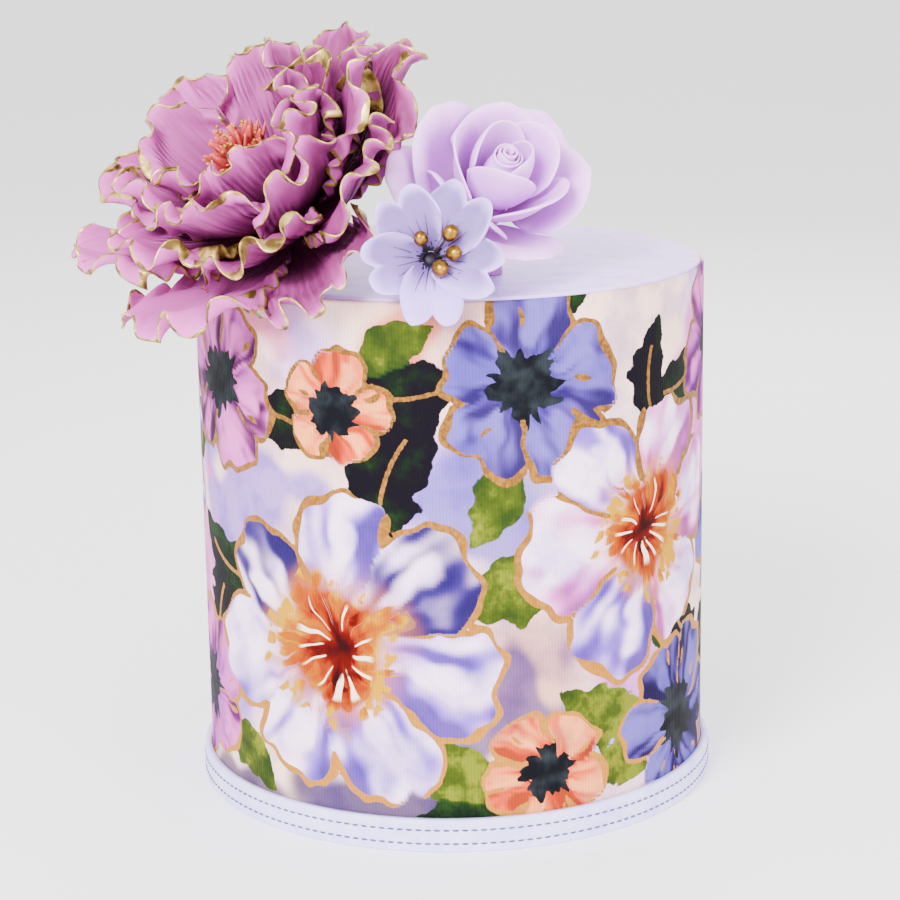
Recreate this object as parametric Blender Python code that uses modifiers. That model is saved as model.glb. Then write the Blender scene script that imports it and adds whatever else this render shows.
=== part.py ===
"""Tall celebration cake: a fondant drum in a printed sheet, a stitched base band and three sugar flowers.

Run it with blender --background --python part.py, or from Blender's text editor.
Metres, +Z up. The origin is the centre of the cake's flat bottom, and the front of the cake faces -Y.
"""

import math
import random
from dataclasses import dataclass

import bmesh
import bpy
import numpy as np
from mathutils import Matrix, Vector

MM = 0.001
FIT_GAP = 0.3 * MM

# Cake, sheet and band
CAKE_HEIGHT = 180 * MM
SHEET_OUTER_RADIUS = 86.5 * MM
SHEET_THICKNESS = 0.8 * MM
SHEET_TOP = CAKE_HEIGHT - 1.0 * MM
SHEET_BOTTOM = 2.0 * MM
CAKE_RADIUS = SHEET_OUTER_RADIUS - SHEET_THICKNESS - FIT_GAP
CAKE_EDGE_ROUND = 0.9 * MM
BAND_HEIGHT = 11 * MM
BAND_THICKNESS = 2.5 * MM
BAND_ROUND = 1.2 * MM
TURN_STEPS = 56
CORNER_STEPS = 3

# How low a petal's middle surface may lie over the fondant, how softly it bends to that, how far past
# the sheet that goes on, and how softly it ends there
REST_HEIGHT = CAKE_HEIGHT + 1.2 * MM
REST_SOFTNESS = 2.5 * MM
REST_REACH = 2.0 * MM
REST_EDGE = 1.0 * MM

# Forms shared by all petals: the share of its length where a lift is whole, the reach of a lift round the
# flower, the squareness of the petal's end, the notch's half-width, and the belly's place and fullness
LIFT_RISE = 0.4
LIFT_POWER = 4
ROUND_POWER = 2.6
NOTCH_WIDTH = 0.22
BELLY_PLACE = 0.8
BELLY_TURN = 0.62 * math.pi
BELLY_POWER = 0.9
GOLDEN_ANGLE = math.radians(137.508)
PROFILE_STEPS = 24

# Frill: how late it grows along a petal, its second wave's depth and pace, and the sides' depth,
# their sharpness and their pace
FRILL_GROWTH = 2.2
SECOND_DEPTH = 0.45
SECOND_PACE = 2.1
SIDE_DEPTH = 0.6
SIDE_SHARPNESS = 3
SIDE_PACE = 1.6

# Most that a petal's direction, length and width differ from the plan
TURN_SPREAD = 0.07
LENGTH_SPREAD = (0.86, 1.0)
WIDTH_SPREAD = (0.93, 1.07)

# The mound of paste under a core, as shares of the core's radius
MOUND_FOOT = 0.8
MOUND_TOP = 0.4

# The heap of stamens: its dome, its stalk, and the stamens with how far they lean up
DOME_RADIUS = 8.5 * MM
DOME_RISE = 9.5 * MM
DOME_STALK = (4 * MM, 5 * MM)
STAMENS = 36
STAMEN_LENGTH = 11 * MM
STAMEN_RADII = (1.1 * MM, 0.5 * MM)
STAMEN_SPREAD_DEG = 68
STAMEN_SINK = 0.7
STAMEN_LEAN = 0.35

# The rose's rolled bud and its stalk
BUD_RADIUS = 5.5 * MM
BUD_RISE = 11 * MM
BUD_STRETCH = 1.75
BUD_STALK = (3 * MM, 4 * MM)

# The blossom's thick middle, and how far behind it the stub on the cake stands
BLOSSOM_MIDDLE = 3.3 * MM
BLOSSOM_FLATTEN = 0.7
BLOSSOM_SETBACK = 4.6 * MM
STUB_RADII = (5 * MM, 4 * MM)
STALK_RADII = (3.6 * MM, 2.6 * MM)

# The gilded beads: each one's place down and to the right of the middle as one looks at the
# blossom, its distance in front of it, and its radius
BEADS = (
    (-4.1 * MM, -2.6 * MM, 8.6 * MM, 2.4 * MM),
    (-5.4 * MM, 6.3 * MM, 9.6 * MM, 2.7 * MM),
    (0.6 * MM, 7.3 * MM, 8.8 * MM, 2.5 * MM),
    (5.0 * MM, 3.2 * MM, 8.2 * MM, 2.8 * MM),
)
WIRE_RADIUS = 0.35 * MM
WIRE_RING = 1.8 * MM

MAUVE = (0.53, 0.22, 0.46)
LILAC = (0.62, 0.42, 0.74)
PALE_LILAC = (0.72, 0.70, 0.86)
BAND_LILAC = (0.84, 0.81, 0.92)
CORAL = (0.82, 0.20, 0.20)
GOLD = (0.60, 0.42, 0.17)
PRINT = (0.72, 0.66, 0.80)


@dataclass(frozen=True)
class Flower:
    """Where a flower stands, how its petals fan out from its core, and how they are frilled.

    start, middle and end are a petal's angles from the flower's axis at its foot, half-way and at its
    rim. They are in degrees, and each pair is for the innermost petal and the outermost one. Each lift
    is a direction round the axis, where 0 is the side that hangs lowest, and how far the outermost petal
    there is raised towards the axis. width is half a petal's width, first is the first petal's direction
    and step the turn to the next one.
    """

    name: str
    centre: tuple
    axis: tuple
    core_radius: float
    petals: int
    start: tuple
    middle: tuple
    end: tuple
    length: tuple
    width: tuple
    base_width: float
    thickness: float
    ruffle: tuple
    waves: float
    lifts: tuple
    round_off: float
    notch: float
    step: float
    first: float
    columns: tuple
    rows: int
    seed: int


PEONY = Flower(
    name="peony",
    centre=(-54 * MM, -30 * MM, 200 * MM),
    axis=(-0.50, -0.36, 0.79),
    core_radius=11 * MM,
    petals=26,
    start=(50, 114),
    middle=(20, 88),
    end=(0, 104),
    length=(42 * MM, 71 * MM),
    width=(18 * MM, 27 * MM),
    base_width=3.6 * MM,
    thickness=0.9 * MM,
    ruffle=(1.0 * MM, 2.6 * MM),
    waves=2.2,
    lifts=((-15, 24), (120, 24), (190, 20)),
    round_off=0.30,
    notch=0.0,
    step=GOLDEN_ANGLE,
    first=0.14,
    columns=(8, 9),
    rows=4,
    seed=31,
)

ROSE = Flower(
    name="rose",
    centre=(12 * MM, -38 * MM, 202 * MM),
    axis=(0.30, -0.60, 0.74),
    core_radius=7 * MM,
    petals=13,
    start=(34, 110),
    middle=(6, 60),
    end=(-22, 84),
    length=(25 * MM, 40 * MM),
    width=(13 * MM, 22 * MM),
    base_width=2.6 * MM,
    thickness=1.0 * MM,
    ruffle=(0.0, 0.6 * MM),
    waves=1.0,
    lifts=((0, 10), (95, 14), (180, 36), (265, 14)),
    round_off=0.36,
    notch=0.0,
    step=GOLDEN_ANGLE,
    first=1.0,
    columns=(8, 8),
    rows=4,
    seed=5,
)

BLOSSOM = Flower(
    name="blossom",
    centre=(-5.5 * MM, -84.5 * MM, 192 * MM),
    axis=(-0.03, -0.90, 0.42),
    core_radius=2.2 * MM,
    petals=5,
    start=(55, 55),
    middle=(72, 72),
    end=(94, 94),
    length=(25 * MM, 25 * MM),
    width=(11.5 * MM, 11.5 * MM),
    base_width=1.5 * MM,
    thickness=1.1 * MM,
    ruffle=(0.5 * MM, 0.5 * MM),
    waves=1.0,
    lifts=(),
    round_off=0.34,
    notch=0.15,
    step=math.radians(72),
    first=-0.02,
    columns=(8, 8),
    rows=4,
    seed=2,
)


def clear_scene():
    for obj in list(bpy.data.objects):
        bpy.data.objects.remove(obj, do_unlink=True)


def new_collection(name):
    made = bpy.data.collections.new(name)
    bpy.context.scene.collection.children.link(made)
    return made


def new_material(name, colour, roughness, metallic=0.0):
    made = bpy.data.materials.new(name)
    made.use_nodes = True
    shader = made.node_tree.nodes["Principled BSDF"]
    shader.inputs["Base Color"].default_value = (*colour, 1)
    shader.inputs["Roughness"].default_value = roughness
    shader.inputs["Metallic"].default_value = metallic
    made.diffuse_color = (*colour, 1)
    return made


def add_object(name, bm, material, collection):
    """A named object in the collection, made from a bmesh that is freed."""
    mesh = bpy.data.meshes.new(name)
    bm.to_mesh(mesh)
    bm.free()
    obj = bpy.data.objects.new(name, mesh)
    obj.data.materials.append(material)
    collection.objects.link(obj)
    return obj


def turned(name, profile, closed, material, collection):
    """A profile of (radius, height) points at +X, spun round the Z axis by a Screw modifier."""
    bm = bmesh.new()
    corners = [bm.verts.new((radius, 0, height)) for radius, height in profile]
    ends = corners[1:] + corners[:1] if closed else corners[1:]
    for corner, end in zip(corners, ends):
        bm.edges.new((corner, end))
    obj = add_object(name, bm, material, collection)
    screw = obj.modifiers.new("turn", "SCREW")
    screw.steps = screw.render_steps = TURN_STEPS
    screw.use_merge_vertices = True
    screw.merge_threshold = 0.01 * MM
    obj.data.shade_smooth()
    return obj


def corner_arc(centre, radius, start_deg, end_deg, steps):
    """Points of a round corner in (radius, height)."""
    angles = [math.radians(start_deg + (end_deg - start_deg) * i / steps) for i in range(steps + 1)]
    return [(centre[0] + radius * math.cos(a), centre[1] + radius * math.sin(a)) for a in angles]


def build_cake(collection):
    """The fondant-covered drum, one uncut solid."""
    r = CAKE_EDGE_ROUND
    top_corner = corner_arc((CAKE_RADIUS - r, CAKE_HEIGHT - r), r, 90, 0, CORNER_STEPS)
    profile = [(0, CAKE_HEIGHT)] + top_corner + [(CAKE_RADIUS, 0), (0, 0)]
    return turned("cake", profile, False, new_material("fondant", PALE_LILAC, 0.5), collection)


def build_sheet(collection):
    """The printed sheet round the side, a thin sleeve that the cake backs all over."""
    inner = SHEET_OUTER_RADIUS - SHEET_THICKNESS
    profile = [
        (SHEET_OUTER_RADIUS, SHEET_TOP),
        (SHEET_OUTER_RADIUS, SHEET_BOTTOM),
        (inner, SHEET_BOTTOM),
        (inner, SHEET_TOP),
    ]
    return turned("printed_sheet", profile, True, new_material("print", PRINT, 0.6), collection)


def build_band(collection):
    """The stitched fondant band round the foot, with a rounded top edge."""
    inner = SHEET_OUTER_RADIUS + FIT_GAP
    outer = inner + BAND_THICKNESS
    r = BAND_ROUND
    profile = (
        [(inner, BAND_HEIGHT)]
        + corner_arc((outer - r, BAND_HEIGHT - r), r, 90, 0, CORNER_STEPS)
        + corner_arc((outer - r / 2, r / 2), r / 2, 0, -90, 1)
        + [(inner, 0)]
    )
    return turned("base_band", profile, True, new_material("band", BAND_LILAC, 0.5), collection)


def flower_matrix(flower):
    """Places a flower: its +Z is the flower's axis, and its +X points to the side that leans low."""
    up = Vector(flower.axis).normalized()
    low = (Vector((up.x, up.y, 0)) - up * (up.x**2 + up.y**2)).normalized()
    side = up.cross(low)
    turn = Matrix((low, side, up)).transposed().to_4x4()
    return Matrix.Translation(flower.centre) @ turn


def between(pair, share):
    return pair[0] + (pair[1] - pair[0]) * share


def petal_draws(flower):
    """The seeded differences between one flower's petals, drawn in the order of the petals."""
    dice = random.Random(flower.seed)
    return [
        {
            "turn": dice.uniform(-TURN_SPREAD, TURN_SPREAD),
            "length": dice.uniform(*LENGTH_SPREAD),
            "width": dice.uniform(*WIDTH_SPREAD),
            "phase": [dice.uniform(0, 2 * math.pi) for _ in range(4)],
        }
        for _ in range(flower.petals)
    ]


def lean(flower, share, azimuth):
    """How far a petal is raised towards the axis, in radians, from the flower's lifts."""
    raised = np.zeros_like(azimuth)
    for towards, turn in flower.lifts:
        nearness = (1 + np.cos(azimuth - math.radians(towards))) / 2
        raised += math.radians(turn) * nearness**LIFT_POWER
    return share * raised


def fan_angle(flower, share, along, azimuth):
    """The angle between the flower's axis and a petal, along its length from 0 to 1."""
    start, middle, end = (
        math.radians(between(pair, share)) for pair in (flower.start, flower.middle, flower.end)
    )
    bend = start * (1 - along) * (1 - 2 * along) + 4 * middle * along * (1 - along)
    bend += end * along * (2 * along - 1)
    return bend - lean(flower, share, azimuth) * np.minimum(1, along / LIFT_RISE)


def section(flower, share, length, along, azimuth):
    """Distance from the axis and height of a petal's middle surface, and its angle, all as arrays."""
    steps = np.linspace(0, 1, PROFILE_STEPS + 1)
    angles = fan_angle(flower, share, along[:, None] * steps, azimuth[:, None])
    stride = (length * along / PROFILE_STEPS)[:, None]
    across = ((np.sin(angles[:, 1:]) + np.sin(angles[:, :-1])) / 2 * stride).sum(axis=1)
    upward = ((np.cos(angles[:, 1:]) + np.cos(angles[:, :-1])) / 2 * stride).sum(axis=1)
    foot = flower.core_radius + FIT_GAP + flower.thickness / 4
    return (
        foot * np.sin(angles[:, 0]) + across,
        foot * np.cos(angles[:, 0]) + upward,
        angles[:, -1],
    )


def petal_share(flower, index):
    """0 for a flower's innermost petal and 1 for its outermost one."""
    return index / (flower.petals - 1)


def frill(flower, phase, u, v):
    """Waves along a petal's rim and its two sides, as a share of the ruffle's depth."""
    waves = flower.waves * math.pi
    along_rim = np.sin(waves * u + phase[0])
    along_rim = along_rim + SECOND_DEPTH * np.sin(SECOND_PACE * waves * u + phase[1])
    side_phase = np.where(u < 0, phase[2], phase[3])
    along_side = np.sin(SIDE_PACE * math.pi * v + side_phase)
    return v**FRILL_GROWTH * along_rim + SIDE_DEPTH * np.abs(u) ** SIDE_SHARPNESS * v * along_side


def petal_points(flower, index, draw, u, v):
    """Points in the flower's own frame, for u from -1 to 1 across a petal and v from 0 to 1 along it."""
    share = petal_share(flower, index)
    azimuth = flower.first + index * flower.step + draw["turn"]
    length = between(flower.length, share)
    notch = flower.notch * np.exp(-((u / NOTCH_WIDTH) ** 2))
    along = v * (1 - flower.round_off * np.abs(u) ** ROUND_POWER - notch) * draw["length"]
    width = between(flower.width, share) * draw["width"]
    belly = np.sin(along**BELLY_PLACE * BELLY_TURN) ** BELLY_POWER
    half = flower.base_width + (width - flower.base_width) * belly
    middle_radius, _, _ = section(flower, share, length, along, np.full_like(u, azimuth))
    turned_by = azimuth + u * half / middle_radius
    radius, height, angle = section(flower, share, length, along, turned_by)
    offset = between(flower.ruffle, share) * frill(flower, draw["phase"], u, v)
    radius = radius + offset * np.cos(angle)
    height = height - offset * np.sin(angle)
    return np.stack([radius * np.cos(turned_by), radius * np.sin(turned_by), height], axis=1)


def rest_on_cake(points):
    """Lifts what would sink into the fondant, where it lies over the cake."""
    outside = np.hypot(points[:, 0], points[:, 1]) - SHEET_OUTER_RADIUS - REST_REACH
    over = 1 / (1 + np.exp(outside / REST_EDGE))
    above = (points[:, 2] - REST_HEIGHT) / REST_SOFTNESS
    rested = REST_HEIGHT + REST_SOFTNESS * np.logaddexp(0, above)
    points[:, 2] += (rested - points[:, 2]) * over
    return points


def build_petal(flower, index, draw, material, collection):
    """One petal: a grid bent to the petal's surface, thickened by Solidify."""
    columns = round(between(flower.columns, petal_share(flower, index)))
    bm = bmesh.new()
    bmesh.ops.create_grid(bm, x_segments=columns, y_segments=flower.rows, size=1)
    flat = np.array([vert.co for vert in bm.verts])
    local = petal_points(flower, index, draw, flat[:, 0], (flat[:, 1] + 1) / 2)
    place = np.array(flower_matrix(flower))
    world = rest_on_cake(local @ place[:3, :3].T + place[:3, 3])
    for vert, point in zip(bm.verts, world):
        vert.co = point
    bmesh.ops.triangulate(bm, faces=bm.faces)
    bmesh.ops.recalc_face_normals(bm, faces=bm.faces)
    obj = add_object(f"{flower.name}_petal_{index + 1:02d}", bm, material, collection)
    solidify = obj.modifiers.new("paste", "SOLIDIFY")
    solidify.thickness = flower.thickness
    solidify.offset = 0
    obj.data.shade_smooth()
    return obj


def build_petals(flower, material, collection):
    return [
        build_petal(flower, index, draw, material, collection)
        for index, draw in enumerate(petal_draws(flower))
    ]


def add_ball(bm, radius, centre, stretch=1.0, segments=12, rings=8):
    bmesh.ops.create_uvsphere(
        bm,
        u_segments=segments,
        v_segments=rings,
        radius=radius,
        matrix=Matrix.Translation(centre) @ Matrix.Diagonal((1, 1, stretch, 1)),
    )


def add_spike(bm, foot, tip, foot_radius, tip_radius, sides):
    """A cone from foot to tip, capped at both ends."""
    foot, tip = Vector(foot), Vector(tip)
    along = tip - foot
    turn = along.to_track_quat("Z", "Y").to_matrix().to_4x4()
    bmesh.ops.create_cone(
        bm,
        cap_ends=True,
        segments=sides,
        radius1=foot_radius,
        radius2=tip_radius,
        depth=along.length,
        matrix=Matrix.Translation((foot + tip) / 2) @ turn,
    )


def fused(name, pieces, material, collection):
    """One solid from many overlapping objects, by one Boolean union on a collection of them."""
    loose = new_collection(f"{name}_loose")
    for piece in pieces[1:]:
        collection.objects.unlink(piece)
        loose.objects.link(piece)
    body = pieces[0]
    union = body.modifiers.new("fuse", "BOOLEAN")
    union.operation = "UNION"
    union.operand_type = "COLLECTION"
    union.collection = loose
    union.solver = "MANIFOLD"
    graph = bpy.context.evaluated_depsgraph_get()
    mesh = bpy.data.meshes.new_from_object(body.evaluated_get(graph))
    made = bpy.data.objects.new(name, mesh)
    made.data.materials.clear()
    made.data.materials.append(material)
    made.matrix_world = body.matrix_world
    for piece in pieces:
        bpy.data.objects.remove(piece, do_unlink=True)
    bpy.data.collections.remove(loose)
    collection.objects.link(made)
    return made


def build_core(flower, material, collection):
    """The ball of paste that a flower's petals are set on, with a mound of paste down to the cake."""
    bm = bmesh.new()
    add_ball(bm, flower.core_radius, flower.centre, segments=16, rings=10)
    ball = add_object("ball", bm, material, collection)
    bm = bmesh.new()
    centre = Vector(flower.centre)
    foot = Vector((centre.x, centre.y, CAKE_HEIGHT + FIT_GAP))
    add_spike(bm, foot, centre, flower.core_radius * MOUND_FOOT, flower.core_radius * MOUND_TOP, 16)
    mound = add_object("mound", bm, material, collection)
    return fused(f"{flower.name}_core", [ball, mound], material, collection)


def build_peony_stamens(material, collection):
    """The heap of coral stamens: a small dome with the pointed stamens fused on."""
    flower = PEONY
    dome_height = flower.core_radius + DOME_RISE
    bm = bmesh.new()
    add_ball(bm, DOME_RADIUS, (0, 0, dome_height), segments=10, rings=6)
    pieces = [add_object("dome", bm, material, collection)]
    bm = bmesh.new()
    foot_height = flower.core_radius + FIT_GAP
    add_spike(bm, (0, 0, foot_height), (0, 0, dome_height), *DOME_STALK, 8)
    pieces.append(add_object("stalk", bm, material, collection))
    for index in range(STAMENS):
        tilt = math.radians(STAMEN_SPREAD_DEG) * math.sqrt((index + 0.5) / STAMENS)
        turn = index * GOLDEN_ANGLE
        away = Vector((math.sin(tilt) * math.cos(turn), math.sin(tilt) * math.sin(turn), math.cos(tilt)))
        foot = Vector((0, 0, dome_height)) + away * DOME_RADIUS * STAMEN_SINK
        tip = foot + (away + Vector((0, 0, STAMEN_LEAN))).normalized() * STAMEN_LENGTH
        bm = bmesh.new()
        add_spike(bm, foot, tip, *STAMEN_RADII, 4)
        pieces.append(add_object("stamen", bm, material, collection))
    for piece in pieces:
        piece.matrix_world = flower_matrix(flower)
    return fused("peony_stamens", pieces, material, collection)


def build_rose_bud(material, collection):
    """The rolled bud in the middle of the rose, a teardrop on the rose's core."""
    flower = ROSE
    bud_height = flower.core_radius + BUD_RISE
    bm = bmesh.new()
    add_ball(bm, BUD_RADIUS, (0, 0, bud_height), stretch=BUD_STRETCH, segments=14, rings=10)
    bud = add_object("bud", bm, material, collection)
    bud.matrix_world = flower_matrix(flower)
    bm = bmesh.new()
    foot = (0, 0, flower.core_radius + FIT_GAP)
    add_spike(bm, foot, (0, 0, bud_height), *BUD_STALK, 10)
    stalk = add_object("stalk", bm, material, collection)
    stalk.matrix_world = flower_matrix(flower)
    return fused("rose_bud", [bud, stalk], material, collection)


def build_blossom(material, collection):
    """The small blossom: five notched petals of one cut piece of paste, with a thick middle."""
    petals = build_petals(BLOSSOM, material, collection)
    bm = bmesh.new()
    add_ball(bm, BLOSSOM_MIDDLE, (0, 0, 0), stretch=BLOSSOM_FLATTEN)
    middle = add_object("middle", bm, material, collection)
    middle.matrix_world = flower_matrix(BLOSSOM)
    bm = bmesh.new()
    x, y, z = BLOSSOM.centre
    neck = (x, y + BLOSSOM_SETBACK, z - BLOSSOM_SETBACK)
    add_spike(bm, (x, y + BLOSSOM_SETBACK, CAKE_HEIGHT + FIT_GAP), neck, *STUB_RADII, 12)
    stub = add_object("stub", bm, material, collection)
    bm = bmesh.new()
    add_spike(bm, (neck[0], neck[1], neck[2] - MM), BLOSSOM.centre, *STALK_RADII, 12)
    stalk = add_object("stalk", bm, material, collection)
    return fused("blossom", [middle, stub, stalk, *petals], material, collection)


def build_gold_stamens(material, collection):
    """The gilded beads on short wires, in the blossom's middle."""
    foot_height = BLOSSOM_MIDDLE * BLOSSOM_FLATTEN + FIT_GAP
    made = []
    for index, (down, right, rise, radius) in enumerate(BEADS):
        aside = Vector((down, right, 0)).normalized() * WIRE_RING
        foot = aside + Vector((0, 0, foot_height))
        bead = Vector((down, right, rise))
        bm = bmesh.new()
        add_ball(bm, radius, bead, segments=10, rings=7)
        ball = add_object("bead", bm, material, collection)
        bm = bmesh.new()
        add_spike(bm, foot, bead, WIRE_RADIUS, WIRE_RADIUS, 6)
        wire = add_object("wire", bm, material, collection)
        for piece in (ball, wire):
            piece.matrix_world = flower_matrix(BLOSSOM)
        made.append(fused(f"gold_stamen_{index + 1}", [ball, wire], material, collection))
    return made


def main():
    clear_scene()
    cake = new_collection("celebration_cake")
    build_cake(cake)
    build_sheet(cake)
    build_band(cake)
    mauve = new_material("mauve_paste", MAUVE, 0.55)
    lilac = new_material("lilac_paste", LILAC, 0.5)
    pale = new_material("pale_paste", PALE_LILAC, 0.5)
    gold = new_material("gold_dust", GOLD, 0.35, 0.9)
    build_petals(PEONY, mauve, cake)
    build_core(PEONY, mauve, cake)
    build_peony_stamens(new_material("coral_paste", CORAL, 0.6), cake)
    build_petals(ROSE, lilac, cake)
    build_core(ROSE, lilac, cake)
    build_rose_bud(lilac, cake)
    build_blossom(pale, cake)
    build_gold_stamens(gold, cake)


main()
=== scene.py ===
"""Looks of a tall celebration cake: fondant, printed sheet, stitched band and three sugar flowers.

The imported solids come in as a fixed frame, in metres, with the cake's bottom on z = 0 and its front to -Y.
Each piece made here stands in the place of the solid that it replaces, and is finished more finely.
"""

from __future__ import annotations

import logging
import math
import random
from collections.abc import Iterable, Mapping, Sequence
from dataclasses import dataclass
from enum import Enum

import bmesh
import bpy
import numpy as np
from mathutils import Matrix, Vector


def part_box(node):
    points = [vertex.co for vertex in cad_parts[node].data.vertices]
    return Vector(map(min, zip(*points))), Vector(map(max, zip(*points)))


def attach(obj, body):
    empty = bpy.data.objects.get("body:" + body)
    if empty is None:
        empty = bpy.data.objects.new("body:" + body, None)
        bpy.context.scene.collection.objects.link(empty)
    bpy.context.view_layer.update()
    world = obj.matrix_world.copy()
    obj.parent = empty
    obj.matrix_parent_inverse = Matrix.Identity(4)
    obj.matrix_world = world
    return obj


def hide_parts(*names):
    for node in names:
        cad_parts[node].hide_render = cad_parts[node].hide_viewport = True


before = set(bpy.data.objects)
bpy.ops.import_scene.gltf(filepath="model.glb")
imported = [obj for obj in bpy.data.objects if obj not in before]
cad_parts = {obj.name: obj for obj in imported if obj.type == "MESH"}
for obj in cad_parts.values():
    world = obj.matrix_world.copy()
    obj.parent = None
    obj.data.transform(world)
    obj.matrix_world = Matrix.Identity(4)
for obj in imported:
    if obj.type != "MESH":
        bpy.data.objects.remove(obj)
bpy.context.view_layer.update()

log = logging.getLogger("cake")

Colour = tuple[float, float, float, float]
Pair = tuple[float, float]
Point = tuple[float, float, float]
Array = np.ndarray

MM = 0.001
FIT_GAP = 0.3 * MM
TAU = 2 * math.pi
GOLDEN_ANGLE = math.radians(137.508)
BODY = "root"

CAKE_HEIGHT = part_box("cake")[1].z
SHEET_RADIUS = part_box("printed_sheet")[1].x
SHEET_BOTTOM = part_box("printed_sheet")[0].z
SHEET_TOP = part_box("printed_sheet")[1].z
BAND_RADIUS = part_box("base_band")[1].x
BAND_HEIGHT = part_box("base_band")[1].z


class Slot(Enum):
    """The finishes that the cake's record names."""

    FONDANT = "fondant"
    SHEET = "printed_sheet"
    BAND = "band"
    MAUVE = "mauve_paste"
    CORAL = "coral_paste"
    LILAC = "lilac_paste"
    PALE = "pale_paste"
    GOLD = "gold_dust"


def paint(red: float, green: float, blue: float) -> Colour:
    """A colour in Blender's linear light.

    Args:
        red: The red part as it is seen, from 0 to 255.
        green: The green part.
        blue: The blue part.

    Returns:
        The colour with an alpha of 1.
    """
    seen = np.array([red, green, blue]) / 255
    linear = np.where(seen <= 0.04045, seen / 12.92, ((seen + 0.055) / 1.055) ** 2.4)
    return (*(float(part) for part in linear), 1.0)


def between(pair: Pair, share: float) -> float:
    """The value at a share of the way from a pair's first number to its second."""
    return pair[0] + (pair[1] - pair[0]) * share


def smooth(value: Array, low: float, high: float) -> Array:
    """Rises smoothly from 0 at low to 1 at high, for each number of an array."""
    share = np.clip((value - low) / (high - low), 0, 1)
    return share * share * (3 - 2 * share)


class Signal:
    """An output of a shader node, on which the arithmetic signs add Math nodes."""

    def __init__(self, recipe: Recipe, socket: bpy.types.NodeSocket) -> None:
        """Keeps the recipe that the node belongs to, and the node's output."""
        self.recipe = recipe
        self.socket = socket

    def math(self, operation: str, *terms: Signal | float) -> Signal:
        """One Math node of the named operation on the terms."""
        return self.recipe.node("ShaderNodeMath", {"operation": operation}, dict(enumerate(terms)))

    def __add__(self, other: Signal | float) -> Signal:
        """The sum."""
        return self.math("ADD", self, other)

    __radd__ = __add__

    def __sub__(self, other: Signal | float) -> Signal:
        """The difference."""
        return self.math("SUBTRACT", self, other)

    def __rsub__(self, other: float) -> Signal:
        """The difference from a number."""
        return self.math("SUBTRACT", other, self)

    def __mul__(self, other: Signal | float) -> Signal:
        """The product."""
        return self.math("MULTIPLY", self, other)

    __rmul__ = __mul__

    def sine(self) -> Signal:
        """The sine of a value in radians."""
        return self.math("SINE", self)

    def least(self, other: Signal | float) -> Signal:
        """The smaller of two values."""
        return self.math("MINIMUM", self, other)

    def most(self, other: Signal | float) -> Signal:
        """The larger of two values."""
        return self.math("MAXIMUM", self, other)

    def rise(self, low: float, high: float) -> Signal:
        """A smooth step from 0 at low to 1 at high."""
        sockets = {"Value": self, "From Min": low, "From Max": high}
        return self.recipe.node("ShaderNodeMapRange", {"interpolation_type": "SMOOTHSTEP"}, sockets)

    def part(self, name: str) -> Signal:
        """The X, Y or Z of a vector."""
        return self.recipe.node("ShaderNodeSeparateXYZ", None, {0: self}, name)


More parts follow.
